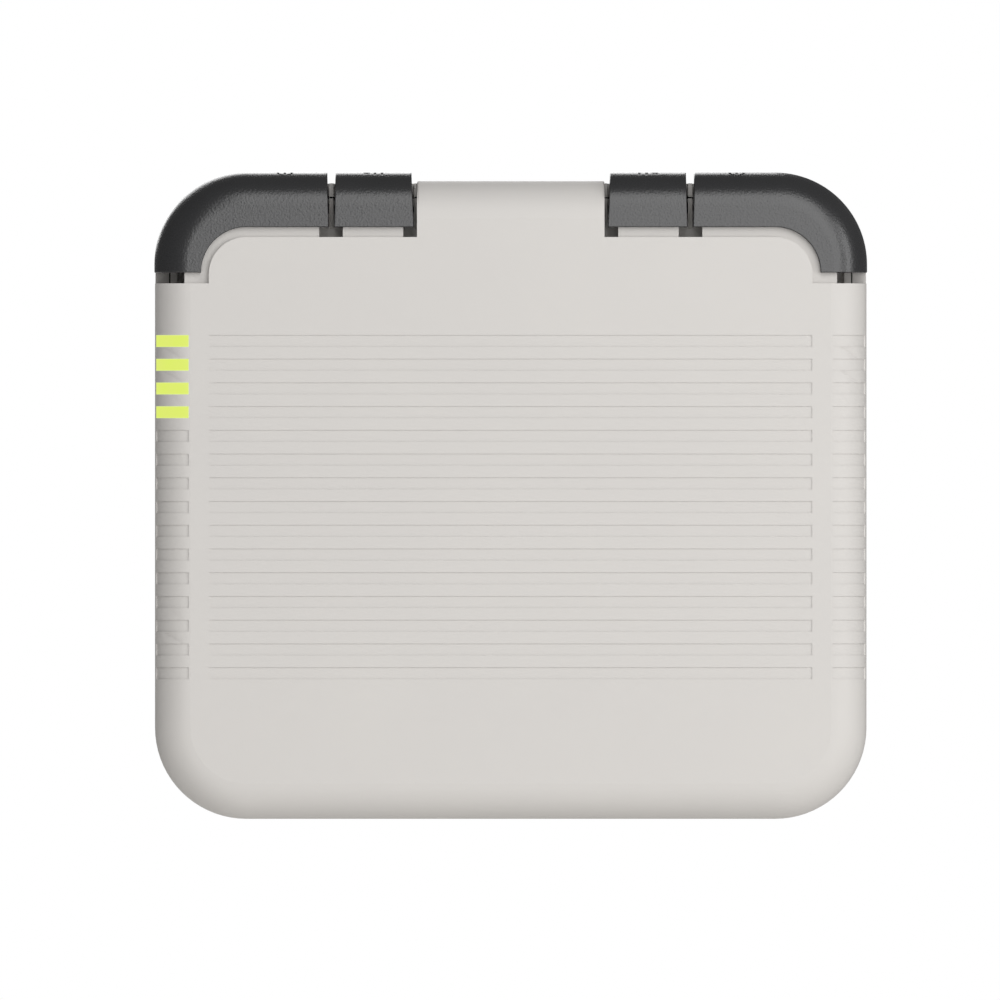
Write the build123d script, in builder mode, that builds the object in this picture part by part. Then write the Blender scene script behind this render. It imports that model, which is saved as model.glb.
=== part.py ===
"""Wall battery unit: two moulded housings round a 16-cell pack, four hinged caps over the connection bays.

Millimetres, +Z up, the front faces -Y.  The origin is the centre of the wall bracket's four
bolt slots, on the wall's surface.  Depths are counted from the wall towards the front, so a
depth d lies at y = -d.  A margin t is counted inwards from the body's outline.
"""
from build123d import *
import os

os.makedirs("parts", exist_ok=True)

# ---- driving dimensions -------------------------------------------------------------------
BODY_W = 600.0
BODY_H = 536.0
CORNER_R = 77.0
EDGE_R = 30.0                # soft rounding of the front edge
TOP = 150.0                  # height of the body's top above the bracket's centre
BOTTOM = TOP - BODY_H
MID_Z = (TOP + BOTTOM) / 2
HALF_W = BODY_W / 2

BACK = 20.0                  # depth of the rear housing's back face
SPLIT = 110.0                # depth of the joint between the housings
SEAM = 1.3
FRONT_REAR = SPLIT + SEAM
FRONT = 190.0                # depth of the front face
WALL = 4.0
FLANGE = 11.5                # width of the rear housing's rim

# channel round the top corners, as margins from the outline
LIP_IN = 18.5                # the front housing's lip runs from the seam to here
SLOT_IN = 25.0
STEP_IN = 45.5
LIP_DEPTH = 126.0
SLOT_DEPTH = 116.0
PAD_DEPTH = FRONT - 6.0
POCKET_DEPTH = 150.0
CHANNEL_END = TOP - 84.5
TAB_HALF = 79.0
TAB_RISE = 1.8               # the tab between the inner caps stands this far above the body
TAB_EASE = 1.6

# caps
CAP_RISE = 9.0               # the caps stand this far above the body
CAP_PROUD = 0.5
CAP_WALL = 3.0
CAP_EDGE_X = 261.0           # inner edge of the caps' side legs
CAP_EDGE_DROP = 37.1         # inner edge of the caps' top run, below the body's top
CAP_EDGE_R = 38.3
CAP_END = TOP - CAP_EDGE_DROP - CAP_EDGE_R
CAP_ROUND = 28.0
CAP_REAR = SPLIT + 0.5
HINGE_DEPTH = 104.0
HINGE_Z = TOP + 4.5
PIN_R = 1.5
PIN_CLEAR = 0.06
SMALL_PAD = (90.6, 141.5)
CORNER_PAD_X = 161.5

# connection bays, one under each cap: x from, x to
INNER_BAY = (95.0, 137.0)
CORNER_BAY = (167.0, 219.0)
BAY_REAR = 118.0
BAY_FRONT = 172.0
BAY_BOTTOM = TOP - 62.0
DUCT_TOP = TOP - 17.0
DUCT_BOTTOM = TOP - 41.0
DUCT_HALF = 12.0
BAY_WALL = 3.0

# grooves and windows
ROWS = 15
PITCH = 20.0
GROOVE_H = 10.0
GROOVE_DEEP = 0.9
FIRST_ROW_Z = BOTTOM + 402.9
GROOVE_X = 254.0
SIDE_X = (271.4, 305.0)
SIDE_DEPTH = 168.0
WINDOWS = 4

# battery pack
CELL_T = 50.0
CELL_W = 160.0
CELL_D = 118.0
CELLS_PER_ROW = 8
CELL_PITCH = 50.8
PACK_BOTTOM = BOTTOM + 36.0
ROW_GAP = 4.0
END_PLATE = 8.0


def front_plane(depth):
    """Sketch plane parallel to the wall at a depth, seen from the front; extrudes towards the front."""
    return Plane(origin=(0, -depth, 0), x_dir=(1, 0, 0), z_dir=(0, -1, 0))


def outline(margin, mode=Mode.ADD):
    """The body's rounded outline, drawn a margin inside its edge."""
    with Locations((0, MID_Z)):
        RectangleRounded(BODY_W - 2 * margin, BODY_H - 2 * margin, CORNER_R - margin, mode=mode)


def block(x0, x1, d0, d1, z0, z1, mode=Mode.ADD):
    """A box from corner to corner: x, depth and height."""
    with Locations(((x0 + x1) / 2, -(d0 + d1) / 2, (z0 + z1) / 2)):
        Box(abs(x1 - x0), abs(d1 - d0), abs(z1 - z0), mode=mode)


def soft_slab(margin, rear, front, radius):
    """The body's outline as a slab with a rounded front edge."""
    with BuildSketch(front_plane(rear)) as profile:
        outline(margin)
    extrude(profile.sketch, amount=front - rear)
    front_edges = faces().sort_by(Axis.Y)[0].edges()
    fillet(front_edges, radius)


def mirrored(low, high):
    """The x range of a feature on the right and its mirror image on the left."""
    return [(low, high), (-high, -low)]


def save(piece, label):
    """Label a finished piece and write its STEP file."""
    piece.part.label = label
    export_step(piece.part, f"parts/{label}.step")


# ---- channel solids, used to shape the front housing --------------------------------------
def channel(t_out, t_in, d0, d1, zone_end=CHANNEL_END, zone_x=TAB_HALF):
    """Band between two margins from depth d0 to d1, kept to the two top corners."""
    with BuildPart() as band:
        with BuildSketch(front_plane(d0)):
            if t_out <= 0:
                with Locations((0, MID_Z)):
                    Rectangle(BODY_W + 20, BODY_H + 20)
            else:
                outline(t_out)
            outline(t_in, Mode.SUBTRACT)
            with Locations((0, BOTTOM - 50 + (zone_end - BOTTOM + 50) / 2)):
                Rectangle(BODY_W + 60, zone_end - BOTTOM + 50, mode=Mode.SUBTRACT)
            with Locations((0, TOP)):
                Rectangle(2 * zone_x, 2 * (TOP - CHANNEL_END), mode=Mode.SUBTRACT)
        extrude(amount=d1 - d0)
    return band.part


PAST = FRONT + 5.0
WALL_ZONE = CHANNEL_END - WALL
rim_cut = channel(0, FLANGE + SEAM, SPLIT - 10, PAST)
lip_cut = channel(FLANGE, LIP_IN, LIP_DEPTH, PAST)
slot_cut = channel(LIP_IN, SLOT_IN, SLOT_DEPTH, PAST)
pad_cut = channel(SLOT_IN - 0.5, STEP_IN, PAD_DEPTH, PAST)
keep_solid = channel(0, SLOT_IN + WALL, SPLIT - 10, PAST, WALL_ZONE, TAB_HALF - WALL)
under_pad = channel(0, STEP_IN + WALL, PAD_DEPTH - WALL, PAST, WALL_ZONE, TAB_HALF - WALL)
# low ribs in the gaps beside the inner caps, on both housings; the front ones slope away from the pads
DIVIDER_END = 81.3
DIVIDER_GAP = (149.5, 153.1)
FRONT_DIVIDERS = [(TAB_HALF - 1, DIVIDER_END), DIVIDER_GAP]
REAR_DIVIDERS = [(TAB_HALF + 0.4, DIVIDER_END), DIVIDER_GAP]
REAR_DIVIDER_FRONT = 158.0
DIVIDER_SIDE = [(-118, TOP - FLANGE - SEAM), (-172, TOP - FLANGE - SEAM), (-152, TOP - 38),
                (-148, TOP - 38), (-148, TOP - 26), (-118, TOP - 26)]
POCKETS = [(TAB_HALF, SMALL_PAD[0]), (SMALL_PAD[1], CORNER_PAD_X)]
BAYS = [INNER_BAY, CORNER_BAY]


# ---- front housing: one moulding, 4 mm wall -----------------------------------------------
with BuildPart() as front_cavity:
    soft_slab(WALL, FRONT_REAR - 1, FRONT - WALL, EDGE_R - WALL)
    add(keep_solid, mode=Mode.SUBTRACT)
    add(under_pad, mode=Mode.SUBTRACT)
    for pocket in POCKETS:
        for x0, x1 in mirrored(*pocket):
            block(x0 - WALL, x1 + WALL, POCKET_DEPTH - WALL, PAST, TOP - STEP_IN - WALL, TOP, Mode.SUBTRACT)
    for bay in BAYS:
        for x0, x1 in mirrored(*bay):
            block(x0 - BAY_WALL, x1 + BAY_WALL, SPLIT, BAY_FRONT + BAY_WALL, BAY_BOTTOM, TOP, Mode.SUBTRACT)

with BuildPart() as tab:
    soft_slab(-TAB_RISE, FRONT_REAR, FRONT, EDGE_R + TAB_RISE)
    block(-TAB_HALF, TAB_HALF, 0, PAST, TOP - EDGE_R - 5, TOP + 20, Mode.INTERSECT)
    side_edges = edges().filter_by(lambda e: abs(abs(e.center().X) - TAB_HALF) < 0.01)
    side_edges = side_edges.filter_by(lambda e: e.center().Z > TOP - 12 and e.center().Y < -FRONT_REAR - 1)
    fillet(side_edges, TAB_EASE)

with BuildPart() as groove_floor:
    soft_slab(GROOVE_DEEP, SPLIT, FRONT - GROOVE_DEEP, EDGE_R - GROOVE_DEEP)


def row_z(row):
    """Height of a groove row's centre."""
    return FIRST_ROW_Z - row * PITCH


with BuildPart() as grooves:
    for row in range(ROWS):
        z0 = row_z(row) - GROOVE_H / 2
        z1 = row_z(row) + GROOVE_H / 2
        block(-GROOVE_X, GROOVE_X, SIDE_DEPTH, PAST, z0, z1)
        for x0, x1 in mirrored(*SIDE_X):
            block(x0, x1, SIDE_DEPTH, PAST, z0, z1)
    add(groove_floor.part, mode=Mode.SUBTRACT)

BOSS_R = 5.0
SCREW_R = 1.9
BOSS_IN = 20.0               # margin of every boss's centre
BOSS_REAR = 104.0
BOSS_FRONT = 183.0
SIDE_X_BOSS = HALF_W - BOSS_IN
BOSS_SPOTS = [(side * SIDE_X_BOSS, z) for side in (-1, 1) for z in (52, -130, -290)]
BOSS_SPOTS += [(x, BOTTOM + BOSS_IN) for x in (-150, 0, 150)]
BOSS_SPOTS += [(x, TOP - BOSS_IN) for x in (-45, 45)]
SKIRT_IN = FLANGE + SEAM + WALL
LED_X = -282.0
LED_BOARD_DEPTH = 166.0
LED_BOARD_Z = (-72.0, 42.0)
LED_POST_Z = (36.0, -66.0)
PIPE_X = (-290.0, -276.0)


def ring(t_out, t_in, d0, d1):
    """A closed frame between two margins of the body's outline."""
    with BuildPart() as frame:
        with BuildSketch(front_plane(d0)):
            outline(t_out)
            outline(t_in, Mode.SUBTRACT)
        extrude(amount=d1 - d0)
    return frame.part


def rods(spots, radius, d0, d1):
    """Separate round rods along the depth, one at each (x, z) spot."""
    with BuildPart() as group:
        with BuildSketch(front_plane(d0)):
            with Locations(*spots):
                Circle(radius)
        extrude(amount=d1 - d0)
    return group.part


bay_ducts = [(x0 + x1) / 2 for bay in BAYS for x0, x1 in mirrored(*bay)]

with BuildPart() as front_housing:
    soft_slab(0, FRONT_REAR, FRONT, EDGE_R)
    add(tab.part)
    add(front_cavity.part, mode=Mode.SUBTRACT)
    add(ring(0.5, SKIRT_IN, FRONT_REAR, FRONT_REAR + WALL))
    add(ring(FLANGE + SEAM, SKIRT_IN, BOSS_REAR, FRONT_REAR + WALL))
    for x in bay_ducts:
        block(x - DUCT_HALF - BAY_WALL, x + DUCT_HALF + BAY_WALL, BOSS_REAR, BAY_REAR,
              DUCT_BOTTOM - BAY_WALL, TOP - FLANGE - SEAM)
    add(rods(BOSS_SPOTS, BOSS_R, BOSS_REAR, BOSS_FRONT))
    add(rods([(LED_X, z) for z in LED_POST_Z], 3.0, LED_BOARD_DEPTH + 1.6, BOSS_FRONT))
    add(rim_cut, mode=Mode.SUBTRACT)
    add(lip_cut, mode=Mode.SUBTRACT)
    add(slot_cut, mode=Mode.SUBTRACT)
    add(pad_cut, mode=Mode.SUBTRACT)
    for pocket in POCKETS:
        for x0, x1 in mirrored(*pocket):
            block(x0, x1, POCKET_DEPTH, PAST, TOP - STEP_IN, TOP - LIP_IN, Mode.SUBTRACT)
    for divider in FRONT_DIVIDERS:
        for x0, x1 in mirrored(*divider):
            with BuildSketch(Plane.YZ.offset(x0)) as divider_side:
                with BuildLine():
                    Polyline(*DIVIDER_SIDE, close=True)
                make_face()
            extrude(divider_side.sketch, amount=x1 - x0)
    for bay in BAYS:
        for x0, x1 in mirrored(*bay):
            block(x0, x1, BAY_REAR, BAY_FRONT, BAY_BOTTOM - 5, TOP, Mode.SUBTRACT)
    for x in bay_ducts:
        block(x - DUCT_HALF, x + DUCT_HALF, SPLIT - 10, BAY_REAR + 1, DUCT_BOTTOM, DUCT_TOP, Mode.SUBTRACT)
    add(rods(BOSS_SPOTS, SCREW_R, BOSS_REAR - 1, BOSS_REAR + 30), mode=Mode.SUBTRACT)
    add(grooves.part, mode=Mode.SUBTRACT)
    for row in range(WINDOWS):
        block(*PIPE_X, SIDE_DEPTH, PAST, row_z(row) - 3, row_z(row) + 3, Mode.SUBTRACT)
save(front_housing, "front_housing")

# ---- charge windows: one clear lens per lit row, with a light pipe through the cover -------
with BuildPart() as outer_slab:
    soft_slab(0, SPLIT, FRONT, EDGE_R)

with BuildPart() as charge_windows:
    for row in range(WINDOWS):
        block(-SIDE_X[1], -SIDE_X[0], SIDE_DEPTH, PAST, row_z(row) - GROOVE_H / 2, row_z(row) + GROOVE_H / 2)
    add(groove_floor.part, mode=Mode.SUBTRACT)
    for row in range(WINDOWS):
        block(*PIPE_X, SIDE_DEPTH + 5, PAST, row_z(row) - 3, row_z(row) + 3)
    add(outer_slab.part, mode=Mode.INTERSECT)
save(charge_windows, "charge_windows")

with BuildPart() as led_board:
    block(LED_X - 9, LED_X + 9, LED_BOARD_DEPTH, LED_BOARD_DEPTH + 1.6, *LED_BOARD_Z)
save(led_board, "led_board")

with BuildPart() as led_chips:
    for row in range(WINDOWS):
        for dx in (-4, 2):
            block(LED_X + dx - 1.5, LED_X + dx + 1.5, LED_BOARD_DEPTH + 1.6, LED_BOARD_DEPTH + 3,
                  row_z(row) - 1.5, row_z(row) + 1.5)
save(led_chips, "led_chips")

# ---- rear housing: base moulding with the pack, closed by the front housing ----------------
COLUMN_R = 6.0
HEAD_R = 4.2
HEAD_SEAT = 92.0
REAR_STOP = BOSS_REAR - 0.5
LUG_W = 6.0
LUG_R = 4.5
KNUCKLES = {"inner": (97.0, 134.0), "corner": (172.0, 209.0)}
HANGER_SPOTS = [(x, z) for x in (-180, 0, 180) for z in (30, -14)]
VENT = (256.0, -200.0)
VENT_R = 12.0

with BuildPart() as rear_housing:
    with BuildSketch(front_plane(BACK)):
        outline(0)
    extrude(amount=SPLIT - BACK)
    fillet(faces().sort_by(Axis.Y)[-1].edges(), 8)
    with BuildSketch(front_plane(BACK + WALL)):
        outline(WALL)
    extrude(amount=SPLIT - 2 * WALL - BACK, mode=Mode.SUBTRACT)
    with BuildSketch(front_plane(SPLIT - WALL)):
        outline(FLANGE)
    extrude(amount=WALL, mode=Mode.SUBTRACT)
    add(rods(BOSS_SPOTS, COLUMN_R, BACK + 1, REAR_STOP))
    add(rods(BOSS_SPOTS, HEAD_R + 0.3, BACK - 1, HEAD_SEAT), mode=Mode.SUBTRACT)
    add(rods(BOSS_SPOTS, SCREW_R + 0.3, HEAD_SEAT - 1, SPLIT), mode=Mode.SUBTRACT)
    for x in bay_ducts:
        block(x - DUCT_HALF - BAY_WALL, x + DUCT_HALF + BAY_WALL, BACK + 1, REAR_STOP,
              DUCT_BOTTOM - BAY_WALL, DUCT_TOP + BAY_WALL)
    for x in bay_ducts:
        block(x - DUCT_HALF, x + DUCT_HALF, BACK - 1, SPLIT + 1, DUCT_BOTTOM, DUCT_TOP, Mode.SUBTRACT)
    for divider in REAR_DIVIDERS:
        for x0, x1 in mirrored(*divider):
            block(x0, x1, SPLIT - 1, REAR_DIVIDER_FRONT, TOP - FLANGE, TOP)
    # hinge lugs for the caps, two beside each knuckle
    for low, high in KNUCKLES.values():
        for k0, k1 in mirrored(low, high):
            for x0 in (k0 - 0.4 - LUG_W, k1 + 0.4):
                with BuildSketch(Plane.YZ.offset(x0)):
                    with Locations((-HINGE_DEPTH, HINGE_Z)):
                        Circle(LUG_R)
                    with Locations((-HINGE_DEPTH, TOP + LUG_R / 2 - 1)):
                        Rectangle(2 * LUG_R, LUG_R + 2)
                extrude(amount=LUG_W)
                with BuildSketch(Plane.YZ.offset(x0)):
                    with Locations((-HINGE_DEPTH, HINGE_Z)):
                        Circle(PIN_R)
                extrude(amount=LUG_W, mode=Mode.SUBTRACT)
    add(rods(HANGER_SPOTS, 2.7, BACK - 1, BACK + WALL + 1), mode=Mode.SUBTRACT)
    add(rods([VENT], VENT_R - 4, BACK - 1, BACK + WALL + 1), mode=Mode.SUBTRACT)
save(rear_housing, "rear_housing")

with BuildPart() as housing_gasket:
    add(ring(2.0, FLANGE + SEAM - 0.1, SPLIT, FRONT_REAR))
    add(ring(FLANGE + 0.1, FLANGE + SEAM - 0.1, SPLIT - WALL, FRONT_REAR))
    add(channel(0, FLANGE + 0.1, SPLIT - 1, PAST), mode=Mode.SUBTRACT)
save(housing_gasket, "housing_gasket")

with BuildPart() as housing_screws:
    add(rods(BOSS_SPOTS, HEAD_R, HEAD_SEAT - 4, HEAD_SEAT))
    add(rods(BOSS_SPOTS, SCREW_R, HEAD_SEAT, BOSS_REAR + 26))
save(housing_screws, "housing_screws")

# ---- caps ----------------------------------------------------------------------------------
KNUCKLE_R = 4.2
SEAL_T = (27.0, 34.5)
MARK_DEEP = 1.6
MARK_DEPTH = 166.5
CAP_TOP = TOP + CAP_RISE
CAP_H = 400.0
CAP_CORNER_R = 77.5
CAP_EASE = 0.8
INNER_EDGE_MAX = 75.0        # the flat front's inner edges are all shorter than its outer arc


def cap_outline(inset):
    """The caps' shared outline, drawn inset from their outer surface."""
    with Locations((0, CAP_TOP - CAP_H / 2)):
        RectangleRounded(BODY_W + 2 * CAP_PROUD - 2 * inset, CAP_H - 2 * inset, CAP_CORNER_R - inset)


def cap_slab(inset, rear):
    """A slab over the whole cap outline with its front edge rounded."""
    with BuildPart() as slab:
        with BuildSketch(front_plane(rear)):
            cap_outline(inset)
        extrude(amount=FRONT - inset - rear)
        fillet(faces().sort_by(Axis.Y)[0].edges(), CAP_ROUND - inset)
    return slab.part


def cap_zone(corner, end_wall, d0, d1):
    """The stretch of channel that one right-hand cap covers, its end faces leaning with the mould's draft."""
    with BuildPart() as zone:
        with BuildSketch(front_plane(d0)):
            with BuildLine():
                if corner:
                    Polyline((152.8 + end_wall, CAP_END + end_wall), (155.8 + end_wall, TOP + 50),
                             (340, TOP + 50), (340, CAP_END + end_wall), close=True)
                else:
                    Polyline((80.4 + end_wall, TOP - 74), (85.7 + end_wall, TOP + 55),
                             (146.6 - end_wall, TOP + 55), (149.7 - end_wall, TOP - 74), close=True)
            make_face()
        extrude(amount=d1 - d0)
    return zone.part


cap_body = cap_slab(0, CAP_REAR)
cap_inside = cap_slab(CAP_WALL, CAP_REAR - 5)
RELIEF_IN = 58.5             # the reliefs reach this far in, well past the caps' inner edge
RELIEF_END = TOP - 100.0
RELIEF_X = 60.0
end_relief = channel(FLANGE - 0.7, RELIEF_IN, CAP_REAR - 5, POCKET_DEPTH + 2, RELIEF_END, RELIEF_X)
leg_relief = channel(SLOT_IN - 0.5, RELIEF_IN, CAP_REAR - 5, PAD_DEPTH + 0.5, RELIEF_END, RELIEF_X)
with BuildPart() as cap_inner_edge:
    with BuildSketch(front_plane(CAP_REAR - 10)):
        with Locations((0, TOP - CAP_EDGE_DROP - 200)):
            RectangleRounded(2 * CAP_EDGE_X, 400, CAP_EDGE_R)
    extrude(amount=100)
with BuildPart() as leg_clearance:
    add(leg_relief)
    block(-400, 400, 0, 300, TOP - 60, TOP + 50, Mode.SUBTRACT)
with BuildPart() as rear_wall:
    with BuildSketch(front_plane(CAP_REAR)):
        cap_outline(0)
        with Locations((0, MID_Z)):
            RectangleRounded(BODY_W + 1.2, BODY_H + 1.2, CORNER_R + 0.6, mode=Mode.SUBTRACT)
        with Locations((0, TOP - 20 - 200)):
            Rectangle(BODY_W + 40, 400, mode=Mode.SUBTRACT)
    extrude(amount=CAP_WALL)


cap_under_marks = cap_slab(MARK_DEEP, CAP_REAR - 5)


def cap_marks(corner):
    """Plain port signs sunk into a cap's top: a ring with a bar for power, two bars and a dot for data."""
    x = sum(KNUCKLES["corner" if corner else "inner"]) / 2
    with BuildPart() as marks:
        with BuildSketch(Plane.XY.offset(CAP_TOP - CAP_ROUND)):
            with Locations((x, -MARK_DEPTH)):
                if corner:
                    Circle(7)
                    Circle(5, mode=Mode.SUBTRACT)
                    Rectangle(2, 7)
                else:
                    with Locations((-7, 0), (-1, 0)):
                        Rectangle(2.2, 13)
                    with Locations((6, 0)):
                        Circle(3)
        extrude(amount=CAP_ROUND + 1)
        add(cap_under_marks, mode=Mode.SUBTRACT)
    return marks.part


def make_cap(corner, mirror_image):
    """One cap: shell, end walls, rear wall and hinge knuckle; the left ones are mirror images."""
    k0, k1 = KNUCKLES["corner" if corner else "inner"]
    with BuildPart() as hollow:
        add(cap_inside)
        add(cap_zone(corner, CAP_WALL, CAP_REAR - 5, PAST), mode=Mode.INTERSECT)
    with BuildPart() as cap:
        add(cap_body)
        add(cap_inner_edge.part, mode=Mode.SUBTRACT)
        add(hollow.part, mode=Mode.SUBTRACT)
        add(rear_wall.part)
        add(cap_zone(corner, 0, CAP_REAR - 5, PAST), mode=Mode.INTERSECT)
        add(end_relief, mode=Mode.SUBTRACT)
        add(leg_clearance.part, mode=Mode.SUBTRACT)
        block(k0, k1, HINGE_DEPTH, CAP_REAR + 1, HINGE_Z + 0.5, CAP_TOP - 0.3)
        with BuildSketch(Plane.YZ.offset(k0)) as barrel:
            with Locations((-HINGE_DEPTH, HINGE_Z)):
                Circle(KNUCKLE_R)
        extrude(barrel.sketch, amount=k1 - k0)
        with BuildSketch(Plane.YZ.offset(k0)) as pin_hole:
            with Locations((-HINGE_DEPTH, HINGE_Z)):
                Circle(PIN_R + PIN_CLEAR)
        extrude(pin_hole.sketch, amount=k1 - k0, mode=Mode.SUBTRACT)
        # ease the front face's inner and end edges; the large rounding's own arc and line are left
        front_edges = faces().sort_by(Axis.Y)[0].edges()
        flat_x = HALF_W + CAP_PROUD - CAP_ROUND - 0.5
        inner_edges = front_edges.filter_by(lambda e: e.center().Z < CAP_TOP - CAP_ROUND - 1)
        inner_edges = inner_edges.filter_by(lambda e: e.center().X < flat_x and e.length < INNER_EDGE_MAX)
        fillet(inner_edges, CAP_EASE)
        add(cap_marks(corner), mode=Mode.SUBTRACT)
    return cap.part.mirror(Plane.YZ) if mirror_image else cap.part


def make_seal(corner, mirror_image):
    """Rubber strip bonded behind a cap's front wall; it closes on the pad."""
    low = CORNER_PAD_X + 1.5 if corner else SMALL_PAD[0] + 1.5
    high = 320 if corner else SMALL_PAD[1] - 1.5
    with BuildPart() as seal:
        add(channel(*SEAL_T, PAD_DEPTH + 0.4, FRONT - CAP_WALL, CAP_END + 4, low))
        block(low - 1, high, 0, 300, CHANNEL_END, CAP_TOP, Mode.INTERSECT)
    return seal.part.mirror(Plane.YZ) if mirror_image else seal.part


CAPS = {
    "left_corner": (True, True),
    "left_inner": (False, True),
    "right_inner": (False, False),
    "right_corner": (True, False),
}
for place, (corner, mirror_image) in CAPS.items():
    with BuildPart() as cap_piece:
        add(make_cap(corner, mirror_image))
    save(cap_piece, f"cap_{place}")
    with BuildPart() as seal_piece:
        add(make_seal(corner, mirror_image))
    save(seal_piece, f"cap_seal_{place}")

with BuildPart() as cap_hinge_pins:
    for low, high in KNUCKLES.values():
        for k0, k1 in mirrored(low, high):
            with BuildSketch(Plane.YZ.offset(k0 - 0.4 - LUG_W)):
                with Locations((-HINGE_DEPTH, HINGE_Z)):
                    Circle(PIN_R)
            extrude(amount=k1 - k0 + 2 * (0.4 + LUG_W))
save(cap_hinge_pins, "cap_hinge_pins")

# ---- connection bays -----------------------------------------------------------------------
PANEL_T = 3.0
SOCKET_R = 9.0
SOCKET_BORE_R = 5.5
SOCKET_BORE = 18.0
CONTACT_R = 3.0
SOCKET_TOP = BAY_BOTTOM + 14.0
SOCKET_DEPTH = 152.0
DC_X = (-206.0, -180.0)
AC_X = (180.0, 206.0)
DATA_X = (-127.0, -105.0)
DATA_W = 15.0
EARTH_SPOT = (193.0, 128.0)
EARTH_R = 3.0
EARTH_SHOULDER_R = 4.5
EARTH_SHOULDER_TOP = BAY_BOTTOM + 2.0
EARTH_TOP = BAY_BOTTOM + 18.0
BUTTON_X = 106.0
BREAKER_X = 126.0
BREAKER_W = 13.0
BREAKER_SPAN = (127.0, 167.0)
STEM_R = 2.0
BUTTON_R = 5.5


def upright(spots, radius, z0, z1, mode=Mode.ADD):
    """Vertical round bars, one at each (x, depth) spot."""
    with BuildPart(mode=Mode.PRIVATE) as bars:
        with BuildSketch(Plane.XY.offset(z0)):
            with Locations(*[(x, -d) for x, d in spots]):
                Circle(radius)
        extrude(amount=z1 - z0)
    add(bars.part, mode=mode)


PANELS = [x_range for bay in BAYS for x_range in mirrored(*bay)]
with BuildPart() as bay_panels:
    for x0, x1 in PANELS:
        block(x0 - BAY_WALL, x1 + BAY_WALL, BAY_REAR - BAY_WALL, BAY_FRONT + BAY_WALL,
              BAY_BOTTOM - PANEL_T, BAY_BOTTOM)
    upright([(x, SOCKET_DEPTH) for x in DC_X + AC_X], SOCKET_R, BAY_BOTTOM - 5, BAY_BOTTOM + 1, Mode.SUBTRACT)
    upright([EARTH_SPOT], EARTH_SHOULDER_R, BAY_BOTTOM - 5, BAY_BOTTOM + 1, Mode.SUBTRACT)
    upright([(BUTTON_X, SOCKET_DEPTH)], 8.0, BAY_BOTTOM - 5, BAY_BOTTOM + 1, Mode.SUBTRACT)
    for x in DATA_X:
        block(x - DATA_W / 2, x + DATA_W / 2, SOCKET_DEPTH - 8, SOCKET_DEPTH + 8,
              BAY_BOTTOM - 5, BAY_BOTTOM + 1, Mode.SUBTRACT)
    block(BREAKER_X - BREAKER_W / 2, BREAKER_X + BREAKER_W / 2, *BREAKER_SPAN,
          BAY_BOTTOM - 5, BAY_BOTTOM + 1, Mode.SUBTRACT)
save(bay_panels, "bay_panels")


def power_sockets(places):
    """Round single-pole sockets: open barrels above solid bases."""
    spots = [(x, SOCKET_DEPTH) for x in places]
    with BuildPart() as sockets:
        upright(spots, SOCKET_R, SOCKET_TOP - SOCKET_BORE - 16, SOCKET_TOP)
        upright(spots, SOCKET_R + 2, BAY_BOTTOM, BAY_BOTTOM + 3)
        upright(spots, SOCKET_BORE_R, SOCKET_TOP - SOCKET_BORE, SOCKET_TOP + 1, Mode.SUBTRACT)
        upright(spots, CONTACT_R, SOCKET_TOP - SOCKET_BORE - 6, SOCKET_TOP, Mode.SUBTRACT)
    return sockets


save(power_sockets(DC_X), "dc_sockets")
save(power_sockets(AC_X), "grid_sockets")

with BuildPart() as socket_contacts:
    upright([(x, SOCKET_DEPTH) for x in DC_X + AC_X], CONTACT_R, SOCKET_TOP - SOCKET_BORE - 6,
            SOCKET_TOP - SOCKET_BORE)
save(socket_contacts, "socket_contacts")

with BuildPart() as data_sockets:
    for x in DATA_X:
        block(x - DATA_W / 2, x + DATA_W / 2, SOCKET_DEPTH - 8, SOCKET_DEPTH + 8,
              BAY_BOTTOM - 12, BAY_BOTTOM + 6)
        block(x - DATA_W / 2 - 1.5, x + DATA_W / 2 + 1.5, SOCKET_DEPTH - 9.5, SOCKET_DEPTH + 9.5,
              BAY_BOTTOM, BAY_BOTTOM + 2)
        block(x - 5.9, x + 5.9, SOCKET_DEPTH - 4, SOCKET_DEPTH + 4,
              BAY_BOTTOM - 8, BAY_BOTTOM + 7, Mode.SUBTRACT)
save(data_sockets, "data_sockets")

with BuildPart() as earth_stud:
    upright([EARTH_SPOT], EARTH_SHOULDER_R, BAY_BOTTOM - 10, EARTH_SHOULDER_TOP)
    upright([EARTH_SPOT], EARTH_R, EARTH_SHOULDER_TOP - 1, EARTH_TOP)
    chamfer(faces().sort_by(Axis.Z)[-1].edges(), 0.6)
save(earth_stud, "earth_stud")

# the nut holds the stud's shoulder from under the panel
with BuildPart() as earth_nut:
    with BuildSketch(Plane.XY.offset(BAY_BOTTOM - PANEL_T)):
        with Locations((EARTH_SPOT[0], -EARTH_SPOT[1])):
            RegularPolygon(7.5, 6)
            Circle(EARTH_SHOULDER_R, mode=Mode.SUBTRACT)
    extrude(amount=-5)
save(earth_nut, "earth_nut")

with BuildPart() as button_housing:
    upright([(BUTTON_X, SOCKET_DEPTH)], 8.0, BAY_BOTTOM - 16, BAY_BOTTOM + 1)
    upright([(BUTTON_X, SOCKET_DEPTH)], 9.0, BAY_BOTTOM, BAY_BOTTOM + 3)
    upright([(BUTTON_X, SOCKET_DEPTH)], BUTTON_R + 0.4, BAY_BOTTOM - 8, BAY_BOTTOM + 4, Mode.SUBTRACT)
    upright([(BUTTON_X, SOCKET_DEPTH)], STEM_R + 0.3, BAY_BOTTOM - 17, BAY_BOTTOM, Mode.SUBTRACT)
save(button_housing, "button_housing")

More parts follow.
